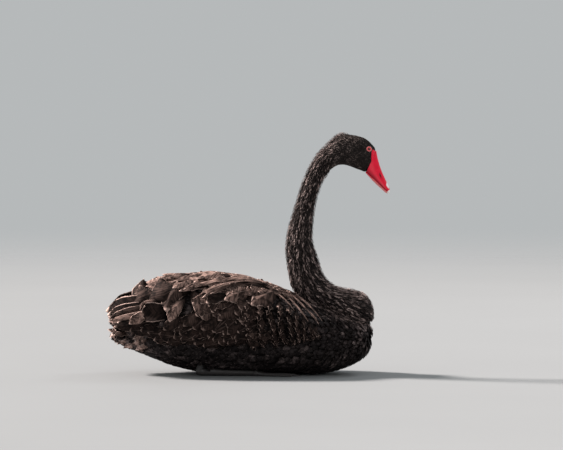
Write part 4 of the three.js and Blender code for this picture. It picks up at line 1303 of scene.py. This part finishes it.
# Small coverts of the shoulder, in columns that run down from a bent line, as the camera sees them.
SHOULDER_COLUMNS = [0, 23, 44, 62, 78, 93, 107, 120, 132]
SHOULDER_TOP = 143
SHOULDER_BEND = 66
SHOULDER_FALL = 0.72
SHOULDER_FOOT = 62
SHOULDER_LEAN = 0.15
SHOULDER_END = 12  # width of the last column
SHOULDER_FEATHER = (22, 0.84)  # length, and width as a share of the way to the next column
SHOULDER_TURN = 84
SHOULDER_RISES = (-VANE_SINK, 5, 7)
SHOULDER_PITCH = 10
# The long thin feathers over the shoulder, with pale shafts: root, middle and tip.
FAN_FEATHERS = [
    ((84, 157), (114, 134), (141, 101)),
    ((74, 158), (100, 137), (125, 107)),
    ((66, 156), (93, 131), (115, 100)),
    ((46, 160), (70, 144), (88, 122)),
    ((95, 136), (119, 118), (134, 95)),
]
FAN_WIDTH = 4
FAN_RISES = (-VANE_SINK, 9, 9)


def shoulder_feathers(draw, side):
    made = []
    for k, x in enumerate(SHOULDER_COLUMNS):
        gap = (SHOULDER_COLUMNS[k + 1 :] + [x + SHOULDER_END])[0] - x
        height = SHOULDER_TOP - SHOULDER_FALL * max(0, x - SHOULDER_BEND)
        while height > SHOULDER_FOOT:
            at = np.array([x, height]) + draw.normal(0, 0.8, 2)
            length = SHOULDER_FEATHER[0] * draw.uniform(0.9, 1.1)
            turn = math.radians(SHOULDER_TURN + draw.normal(0, 8))
            way = np.array([-math.cos(turn), -math.sin(turn)])
            points = [at, at + way * length / 2, at + way * length]
            lie = seen_shaft(points, SHOULDER_RISES, side)
            # Painted light: paler higher up the shoulder, where the key light falls, besides each
            # feather's own chance tone.
            tone = 0.36 + 0.14 * smoothstep(90, 150, height) + draw.normal(0, 0.07)
            width = SHOULDER_FEATHER[1] * gap * draw.uniform(0.9, 1.1)
            tilt = draw.normal(16, 5)
            made.append(vane("small", lie, width, tone, tilt, cup=0.75, ripple=0.1, rim=0.8))
            height -= SHOULDER_PITCH
            x += SHOULDER_LEAN * SHOULDER_PITCH
    for points in FAN_FEATHERS:
        lie = seen_shaft(points, FAN_RISES, side)
        made.append(vane("long", lie, FAN_WIDTH, 0.75, cup=0.4, ripple=0.1, rim=1, quill=1))
    return made


def wing_feathers(surface, side, name, node, seed):
    """All feathers of a wing, a piece for each pattern. The left wing mirrors the right one."""
    draw = np.random.default_rng(seed)
    rows = row_feathers(draw) + shoulder_feathers(draw, side) + single_feathers(draw, side)
    for kind in WING_PATTERNS:
        columns = map(np.array, zip(*(row[1:] for row in rows if row[0] == kind)))
        shafts, normals, widths, tilt, cup, curl, ripple, tone, rim, quill = columns
        if side > 0:
            shafts = shafts * (1, -1, 1)
            normals = normals * (1, -1, 1)
        shafts = shafts * MM
        _, _, uv = surface.nearest(shafts[:, 0])
        obj = feathers(
            f"{name}_{kind}", kind, shafts, normals, widths * MM, uv, wing_vane, seed + 1,
            WING_PATCH, tilt=-side * np.radians(tilt), cup=cup, curl=curl, ripple=ripple,
            tone=np.clip(tone, 0, 1), rim=rim, quill=quill, thick=0.9 * MM, fray=0.03,
        )
        own(obj, "wing_plumage", node)


# Rump

# Small ruffled feathers under the rear: columns' first and last x, rows' first and last height there.
RUMP_X = (-186, -256)
RUMP_TOP = (100, 102)
RUMP_FOOT = (58, 84)
RUMP_COUNTS = (8, 5)
RUMP_FEATHER = (30, 17)  # length and width
RUMP_LIFTS = ((0, -2), (0.5, 5), (1, 8))  # height over the skin at shares of the length
SIDE_START = 400
SIDE_MIDDLE = 20


def side_point(surface, x, z, side, lift):
    """A point over the skin as seen from one side, with the skin's normal there."""
    start = Vector((x, side * SIDE_START, z)) * MM
    hit, normal, _, _ = surface.tree.ray_cast(start, Vector((0, -side, 0)))
    if hit is None:
        hit, normal, _, _ = surface.tree.find_nearest(Vector((x, side * SIDE_MIDDLE, z)) * MM)
    return np.array(hit) + np.array(normal) * lift * MM, np.array(normal)


def rump_feathers(surface, side, name, seed):
    draw = np.random.default_rng(seed)
    found = []
    for i in range(RUMP_COUNTS[0]):
        share = i / (RUMP_COUNTS[0] - 1)
        rows = (along(RUMP_TOP, share), along(RUMP_FOOT, share))
        for j in range(RUMP_COUNTS[1]):
            x = along(RUMP_X, share) + draw.normal(0, 3)
            z = along(rows, j / (RUMP_COUNTS[1] - 1)) + draw.normal(0, 2)
            turn = math.radians(draw.normal(6, 14))
            reach = RUMP_FEATHER[0] * draw.uniform(0.8, 1.2)
            for out, lift in RUMP_LIFTS:
                to_x = x - reach * out * math.cos(turn)
                to_z = z - reach * out * math.sin(turn)
                found.append(side_point(surface, to_x, to_z, side, lift))
    found = np.array(found).reshape(-1, 3, 2, 3)
    shafts, normals = found[:, :, 0], found[:, :, 1]
    _, _, uv = surface.nearest(shafts[:, 0])
    count = len(shafts)
    widths = RUMP_FEATHER[1] * MM * draw.uniform(0.8, 1.2, count)
    tilt = -side * draw.normal(0.25, 0.25, count)
    # High tones in the rump's pale material: painted light on the shaded underside.
    obj = feathers(
        name, "small", shafts, normals, widths, uv, rump_painted_light_vane, seed, RUMP_PATCH, tilt=tilt,
        cup=0.35, ripple=0.8, tone=draw.uniform(0.6, 1, count), thick=0.6 * MM, fray=0.05,
    )
    own(obj, "body_plumage")


# Tail

# Fans of rounded feathers on the rump: how many, roots and tips as x and half spread, width, rise.
TAIL_FANS = [
    (11, (-214, 24), (-268, 40), 19, 0),
    (7, (-206, 17), (-255, 27), 20, 4),
]
TAIL_Z = 91
TAIL_ROOT = -196
TAIL_FALL = 0.1
TAIL_ARCH = 0.006
TAIL_ROUND = 14  # how much shorter the outermost feathers reach
TAIL_TILT = math.radians(8)


def tail_point(x, side, lift):
    return np.array([x, side, TAIL_Z - TAIL_FALL * (TAIL_ROOT - x) - TAIL_ARCH * side**2 + lift])


def tail_feathers(surface):
    shafts, normals, widths, tilts = [], [], [], []
    for count, root, tip, width, rise in TAIL_FANS:
        for i in range(count):
            side = 2 * i / (count - 1) - 1
            from_x, from_y = root[0], side * root[1]
            to_x, to_y = tip[0] + TAIL_ROUND * side**2, side * tip[1]
            middle = ((from_x + to_x) / 2, (from_y + to_y) / 2)
            over = 0.8 * (1 - abs(side))
            shaft = [tail_point(from_x, from_y, -2), tail_point(*middle, rise * 0.6 + over)]
            shafts.append([*shaft, tail_point(to_x, to_y, rise + over)])
            normals.append([(0, 2 * TAIL_ARCH * y, 1) for y in (from_y, middle[1], to_y)])
            widths.append(width)
            tilts.append(-TAIL_TILT * np.sign(side))
    shafts = np.array(shafts) * MM
    _, _, uv = surface.nearest(shafts[:, 0])
    obj = feathers(
        "tail_feathers", "long", shafts, unit(np.array(normals)), np.array(widths) * MM, uv,
        wing_vane, 61, TAIL_PATCH, tilt=np.array(tilts), cup=0.1, thick=0.8 * MM, fray=0.02,
    )
    own(obj, "wing_plumage", "tail")


# Bill

# Ridge x, z, mouth line x, z, half width, in millimetres from the root to the tip.
BILL = [
    (243.8, 422.8, 225.6, 383.5, 15.4),
    (246.6, 409, 234.5, 375.6, 14.6),
    (251.6, 392, 244.2, 366.4, 13.4),
    (257.2, 378, 252.4, 358.6, 12.8),
    (262.6, 366.4, 259.2, 352, 12.8),
    (266.8, 357.8, 264.2, 347.8, 11.6),
    (269, 351.4, 267.2, 345.4, 8.2),
    (268.8, 346.4, 268, 344.4, 3),
]
BILL_START = -0.12  # the rings start this far behind the first row, under the feathers
BILL_STEPS = 72
BILL_ARCH = 48
BILL_SQUARENESS = 1.75
TIP_SWELL = 0.05
ROOF_HEIGHT = 1.2
# Place along the bill or up its side, and size there.
NOSTRIL_RUN = (0.35, 0.05)
NOSTRIL_LEVEL = (0.6, 0.1)
NOSTRIL_DEPTH = 2.6
LOWER_STEPS = 40
LOWER_SHORT = 0.9  # how many rows of the upper half's tip the lower half stops short of
LOWER_DEPTH = 5.6
LOWER_INSET = 1.4
LOWER_GAP = 0.2
LOWER_TAPER = 0.35
STRIP_LEVEL = (0.55, 0.3)  # the pale strip's place down the side, and its width
STRIP_START = (0.08, 0.3)
NAIL = (270, 0, 343.5)
NAIL_RADIUS = 6.5
NAIL_EDGE = 0.8
# The white bar: where it starts and ends along the bill, and how high it starts.
BAR_START = (0.59, 0.62)
BAR_END = (0.78, 0.74)
BAR_FOOT = (0.5, 0.7)


def bill_material():
    """Crimson horn: painted shade along the mouth line, a white bar and nail, a pale strip and painted
    shade in the nostrils.
    """
    n = Nodes("bill_horn")
    along = n.value("along")
    high = n.value("high")
    place = n.place()
    mottle = n.noise(place, 140.0, 4.0)
    color = n.mix(mottle, (0.7, 0.003, 0.025), (0.98, 0.012, 0.055))
    # Painted shade: darker toward the mouth line on both halves.
    color = n.mix(n.product(n.ramp(high, 0.3, 0.0), 0.75), color, (0.14, 0.002, 0.008))
    bar = n.product(n.ramp(along, *BAR_START), n.ramp(along, *BAR_END), n.ramp(high, *BAR_FOOT))
    color = n.mix(bar, color, (0.95, 0.9, 0.88))
    color = n.mix(n.value("pink"), color, (0.85, 0.3, 0.28))
    off = n.vector("DISTANCE", n.vector("MULTIPLY", place, (1, 0, 1)), [c * MM for c in NAIL])
    nail = n.ramp(off, (NAIL_RADIUS + NAIL_EDGE) * MM, (NAIL_RADIUS - NAIL_EDGE) * MM)
    color = n.mix(nail, color, (0.95, 0.88, 0.84))
    # Painted shade in the nostrils, where the horn is pressed in.
    color = n.mix(n.value("hollow"), color, (0.03, 0.001, 0.003))
    n.bump(n.noise(place, 420.0, 2.0), 0.12, 0.3 * MM)
    return n.finish(
        color, n.ramp(mottle, 0.3, 0.8, 0.3, 0.45),
        Specular_IOR_Level=0.2, Coat_Weight=0.04, Coat_Roughness=0.2,
    )


def bill_rings(steps, short):
    """Ridge, mouth line and half width at steps along the bill, short of its last row."""
    found = between(numbered(BILL), np.linspace(BILL_START, len(BILL) - 1 - short, steps))[:, 1:]
    ridge = np.stack([found[:, 0], np.zeros(steps), found[:, 1]], -1)
    mouth = np.stack([found[:, 2], np.zeros(steps), found[:, 3]], -1)
    return ridge, mouth, found[:, 4]


def horn(name, points, material, **values):
    """A closed piece of the bill, with the values that its material reads."""
    rows, columns = points.shape[:2]
    faces = grid_faces(rows, columns, around=True)
    obj = add_mesh(name, points.reshape(-1, 3) * MM, faces, material)
    add_horn_values(obj, **values)
    return obj


def add_horn_values(obj, **values):
    for key in ("along", "high", "hollow", "pink"):
        add_value(obj.data, key, values.get(key, 0) + np.zeros(len(obj.data.vertices)))


def upper_bill(material):
    """The upper half, with nostrils and a swelling at its tip."""
    ridge, mouth, half = bill_rings(BILL_STEPS, 0)
    up = unit(ridge - mouth)
    height = np.linalg.norm(ridge - mouth, axis=1)
    share = np.linspace(0, 1, BILL_STEPS)
    angle = np.linspace(0, np.pi, BILL_ARCH)
    arch = rounded(np.sin(angle), BILL_SQUARENESS)
    side = rounded(np.cos(angle), BILL_SQUARENESS)
    swell = 1 + TIP_SWELL * smoothstep(0.9, 0.97, share)
    points = (
        mouth[:, None]
        + up[:, None] * (height[:, None] * arch)[..., None]
        + SIDEWAYS * (half[:, None] * side * swell[:, None])[..., None]
    )
    run = (share - NOSTRIL_RUN[0]) / NOSTRIL_RUN[1]
    level = (arch - NOSTRIL_LEVEL[0]) / NOSTRIL_LEVEL[1]
    nostril = np.exp(-(run**2)[:, None] - (level**2)[None])
    points[..., 1] -= np.sign(side)[None] * nostril * NOSTRIL_DEPTH
    roof = mouth + up * ROOF_HEIGHT
    roof = np.stack([roof + SIDEWAYS * (half * s)[:, None] * 0.8 for s in (-1, 0, 1)], 1)
    flat = np.zeros((BILL_STEPS, roof.shape[1]))
    high = np.concatenate([np.broadcast_to(arch, (BILL_STEPS, BILL_ARCH)), flat], 1)
    # Where the nostrils' painted shade lies.
    hollow = np.concatenate([np.clip(nostril * 1.3 - 0.25, 0, 1), flat], 1)
    obj = horn(
        "bill_upper_horn", np.concatenate([points, roof], 1), material,
        along=np.repeat(share, high.shape[1]), high=high.ravel(), hollow=hollow.ravel(),
    )
    own(obj, "bill", "bill_upper")


def lower_bill(material):
    """The lower half, set back under the upper half's edge, with a pale strip along its side."""
    ridge, mouth, half = bill_rings(LOWER_STEPS, LOWER_SHORT)
    up = unit(ridge - mouth)
    share = np.linspace(0, 1, LOWER_STEPS)
    depth = LOWER_DEPTH * (1 - LOWER_TAPER * share**2) * smoothstep(-0.35, 0.4, share)
    angle = np.linspace(0, 2 * np.pi, LOWER_STEPS, endpoint=False)
    across = np.cos(angle)
    down = np.sin(angle)
    deep = np.where(down > 0, down * depth[:, None], down * 0.5)
    points = (
        mouth[:, None]
        - up[:, None] * (LOWER_GAP + deep)[..., None]
        + SIDEWAYS * ((half - LOWER_INSET)[:, None] * across)[..., None]
    )
    strip = np.exp(-(((down - STRIP_LEVEL[0]) / STRIP_LEVEL[1]) ** 2))
    strip = strip[None] * smoothstep(*STRIP_START, share)[:, None]
    obj = horn(
        "bill_lower_horn", points, material, along=np.repeat(share, LOWER_STEPS),
        high=np.tile(0.2 + 0.25 * np.maximum(down, 0), LOWER_STEPS), pink=strip.ravel(),
    )
    own(obj, "bill", "bill_lower")


LORE_GRID = (24, 14)
LORE_START = 60 * MM  # how far out the rays begin that find the skin
LORE_LIFT = 1.0  # over the skin, and less by the sink at the edge under the velvet
LORE_SINK = 0.9
LORE_LEVEL = 0.6  # how far up the horn's colours its own are


def make_lore(surface, material):
    """Bare red skin between the bill's root and the eye, on both sides of the head."""
    back = np.array(LORE_BACK)
    t = np.linspace(0, 1, LORE_GRID[0])
    run = np.linspace(0, 1, len(back))
    edge = np.stack([np.interp(t, run, back[:, 0]), np.interp(t, run, back[:, 1])], -1)
    front = along(BILL_ROOT, t[:, None])
    s = np.linspace(0, 1, LORE_GRID[1])
    plane = edge[:, None] + s[None, :, None] * (front - edge)[:, None]
    for side, name in ((-1, "lore_right"), (1, "lore_left")):
        points = []
        for row in plane:
            for j, (x, z) in enumerate(row):
                start = Vector((x * MM, side * LORE_START, z * MM))
                hit, _, _, _ = surface.tree.ray_cast(start, Vector((0, -side, 0)))
                y = hit.y if hit else 0
                sink = LORE_SINK * (1 - smoothstep(0, 0.25, s[j]))
                points.append((x * MM, y + side * (LORE_LIFT - sink) * MM, z * MM))
        faces = grid_faces(*LORE_GRID)
        obj = add_mesh(name, points, faces[:, ::-1] if side > 0 else faces, material)
        add_horn_values(obj, high=LORE_LEVEL)
        own(obj, "bill")


# Eyes

# Radii and widths in millimetres, and shares of them
IRIS_EDGE = (3.6, 4.4)
PUPIL_EDGE = (2.05, 2.35)
LID_RADIUS = 4.2
LID_EDGE = (4.5, 4.9)
LID_WIDTH = 0.75
LID_GRID = (64, 14)
LID_WRINKLES = (7, 0.12)  # how many, and their height as a share
LID_OVAL = 0.05
LID_LEAN = 0.6
LID_FLAT = 0.9
EYE_GRID = (40, 48)
EYE_SHARE = 0.985  # radius of the eye, as a share of the solid's
EYE_BACK = 9.4  # stands for the distance from the pupil on the eye's hidden side


def eye_material():
    """Red iris with a darker edge round a black pupil, and matt black outside the lid."""
    n = Nodes("eye_ball")
    off = n.value("off")
    fibre = n.noise(n.place(), 900.0, 2.0)
    color = n.mix(fibre, (0.5, 0.02, 0.018), (0.85, 0.09, 0.08))
    color = n.mix(n.ramp(off, *IRIS_EDGE), color, (0.25, 0.008, 0.006))
    color = n.mix(n.ramp(off, *PUPIL_EDGE), (0.002, 0.002, 0.002), color)
    outside = n.ramp(off, *LID_EDGE)
    color = n.mix(outside, color, (0.006, 0.005, 0.005))
    return n.finish(color, n.ramp(outside, 0.0, 1.0, 0.12, 0.95))


def lid_material():
    n = Nodes("lid_skin")
    color = n.mix(n.noise(n.place(), 500.0), (0.78, 0.1, 0.11), (0.9, 0.33, 0.34))
    return n.finish(color, 0.45)


def make_lid(name, side, middle, material):
    """A fleshy ring round the eye."""
    around, tube = LID_GRID
    a = np.linspace(0, 2 * np.pi, around, endpoint=False)[:, None]
    b = np.linspace(0, 2 * np.pi, tube, endpoint=False)
    thick = LID_WIDTH * (1 + LID_WRINKLES[1] * np.sin(LID_WRINKLES[0] * a))
    r = LID_RADIUS * (1 + LID_OVAL * np.cos(2 * a + LID_LEAN)) + thick * np.cos(b)
    y = math.sqrt(EYE_RADIUS**2 - LID_RADIUS**2) + thick * LID_FLAT * np.sin(b)
    points = np.stack([r * np.cos(a), side * y, r * np.sin(a)], -1).reshape(-1, 3) * MM
    faces = grid_faces(around, tube, around=True, ring=True)
    obj = add_mesh(name, points + middle, faces[:, ::-1] if side > 0 else faces, material)
    own(obj, "eye")


def make_eyes():
    ball_skin = eye_material()
    lid_skin = lid_material()
    for side, name in ((-1, "right"), (1, "left")):
        low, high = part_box("eye_" + name)
        middle = np.array((low + high) / 2)
        points, faces = ball(*EYE_GRID, EYE_RADIUS * MM * EYE_SHARE)
        off = np.hypot(points[..., 0], points[..., 2]) / MM
        off = np.where(points[..., 1] * side > 0, off, EYE_BACK)
        obj = add_mesh("eye_ball_" + name, points.reshape(-1, 3) + middle, faces, ball_skin)
        add_value(obj.data, "off", off.ravel())
        own(obj, "eye", "eye_" + name)
        make_lid("lid_" + name, side, middle, lid_skin)


# Feet


def foot_material():
    """Grey-black skin with small scales and dark seams between them."""
    n = Nodes("foot_skin")
    place = n.place()
    scales = n.new("TexVoronoi", feature="DISTANCE_TO_EDGE")
    n.link(place, scales.inputs["Vector"])
    scales.inputs["Scale"].default_value = 420.0
    seam = n.ramp(scales.outputs["Distance"], 0.02, 0.16)
    color = n.mix(seam, (0.008, 0.008, 0.008), (0.05, 0.045, 0.044))
    color = n.mix(n.noise(place, 60.0), color, (0.03, 0.026, 0.025))
    n.bump(seam, 0.5, 0.4 * MM)
    return n.finish(color, 0.5)


FOOT_VOXEL = 0.8 * MM
FOOT_ROUNDS = 5


def make_feet():
    material = foot_material()
    for side in ("right", "left"):
        nodes = ("leg_" + side, "foot_" + side)
        obj = joined("foot_skin_" + side, [body_copy(node) for node in nodes])
        remesh(obj, FOOT_VOXEL, FOOT_ROUNDS)
        dress(obj, material)
        own(obj, "leg", *nodes)


# Studio

FLOOR_SIZE = 7.0
FLOOR_FADE = (2.2, 6.5)  # the floor gives way to the plain background between these distances
AIR_COLOR = (0.78, 0.81, 0.82, 1)
AIR_STRENGTH = 0.6
# Name, kind, place, angle or width, power and colour.
LAMPS = [
    ("key", "SUN", (-2.1, 0.9, 2.1), 0.2, 8.4, (1.0, 0.92, 0.88)),
    ("front", "AREA", (1.8, -3.2, 1.5), 1.4, 20, (1.0, 0.97, 0.96)),
    ("rim", "AREA", (1.8, 1.8, 2.4), 0.9, 20, (0.95, 0.97, 1.0)),
]
LAMP_AIM = Vector((0, 0, 0.2))


def floor_material():
    """Pale paint that fades out far from the bird."""
    n = Nodes("floor_paint")
    place = n.place()
    color = n.mix(n.noise(place, 1.5), (0.23, 0.24, 0.245), (0.25, 0.26, 0.265))
    material = n.finish(color, 0.8)
    clear = n.new("BsdfTransparent")
    blend = n.new("MixShader")
    n.link(n.ramp(n.vector("LENGTH", place), *FLOOR_FADE), blend.inputs[0])
    n.link(n.shader.outputs[0], blend.inputs[1])
    n.link(clear.outputs[0], blend.inputs[2])
    n.link(blend.outputs[0], n.tree.nodes["Material Output"].inputs["Surface"])
    return material


def studio():
    points = np.array([(-1, -1, 0), (1, -1, 0), (1, 1, 0), (-1, 1, 0)]) * FLOOR_SIZE
    material = floor_material()
    floor = add_mesh("studio_floor", points, np.array([[0, 1, 2, 3]]), material, smooth=False)
    world = bpy.data.worlds.new("studio")
    world.use_nodes = True
    background = world.node_tree.nodes["Background"]
    background.inputs["Color"].default_value = AIR_COLOR
    background.inputs["Strength"].default_value = AIR_STRENGTH
    bpy.context.scene.world = world
    bpy.context.scene.view_settings.view_transform = "Standard"
    for name, kind, place, width, power, color in LAMPS:
        data = bpy.data.lights.new(name, kind)
        if kind == "SUN":
            data.angle = width
        else:
            data.shape = "DISK"
            data.size = width
        data.energy = power
        data.color = color
        lamp = bpy.data.objects.new(name, data)
        lamp.location = place
        aim = LAMP_AIM - Vector(place)
        lamp.rotation_euler = aim.to_track_quat("-Z", "Y").to_euler()
        bpy.context.scene.collection.objects.link(lamp)


skin = make_skin()
unwrap(skin)
own(skin, "body_plumage", *FLESH)
surface = Surface(skin)
head_velvet(surface)
neck_feathers(surface)
body_feathers(surface)
wing_feathers(surface, -1, "wing_right_feathers", "wing_right", 41)
wing_feathers(surface, 1, "wing_left_feathers", "wing_left", 43)
rump_feathers(surface, -1, "rump_feathers_right", 71)
rump_feathers(surface, 1, "rump_feathers_left", 73)
tail_feathers(surface)
bill_horn = bill_material()
upper_bill(bill_horn)
lower_bill(bill_horn)
make_lore(surface, bill_horn)
make_eyes()
make_feet()
studio()
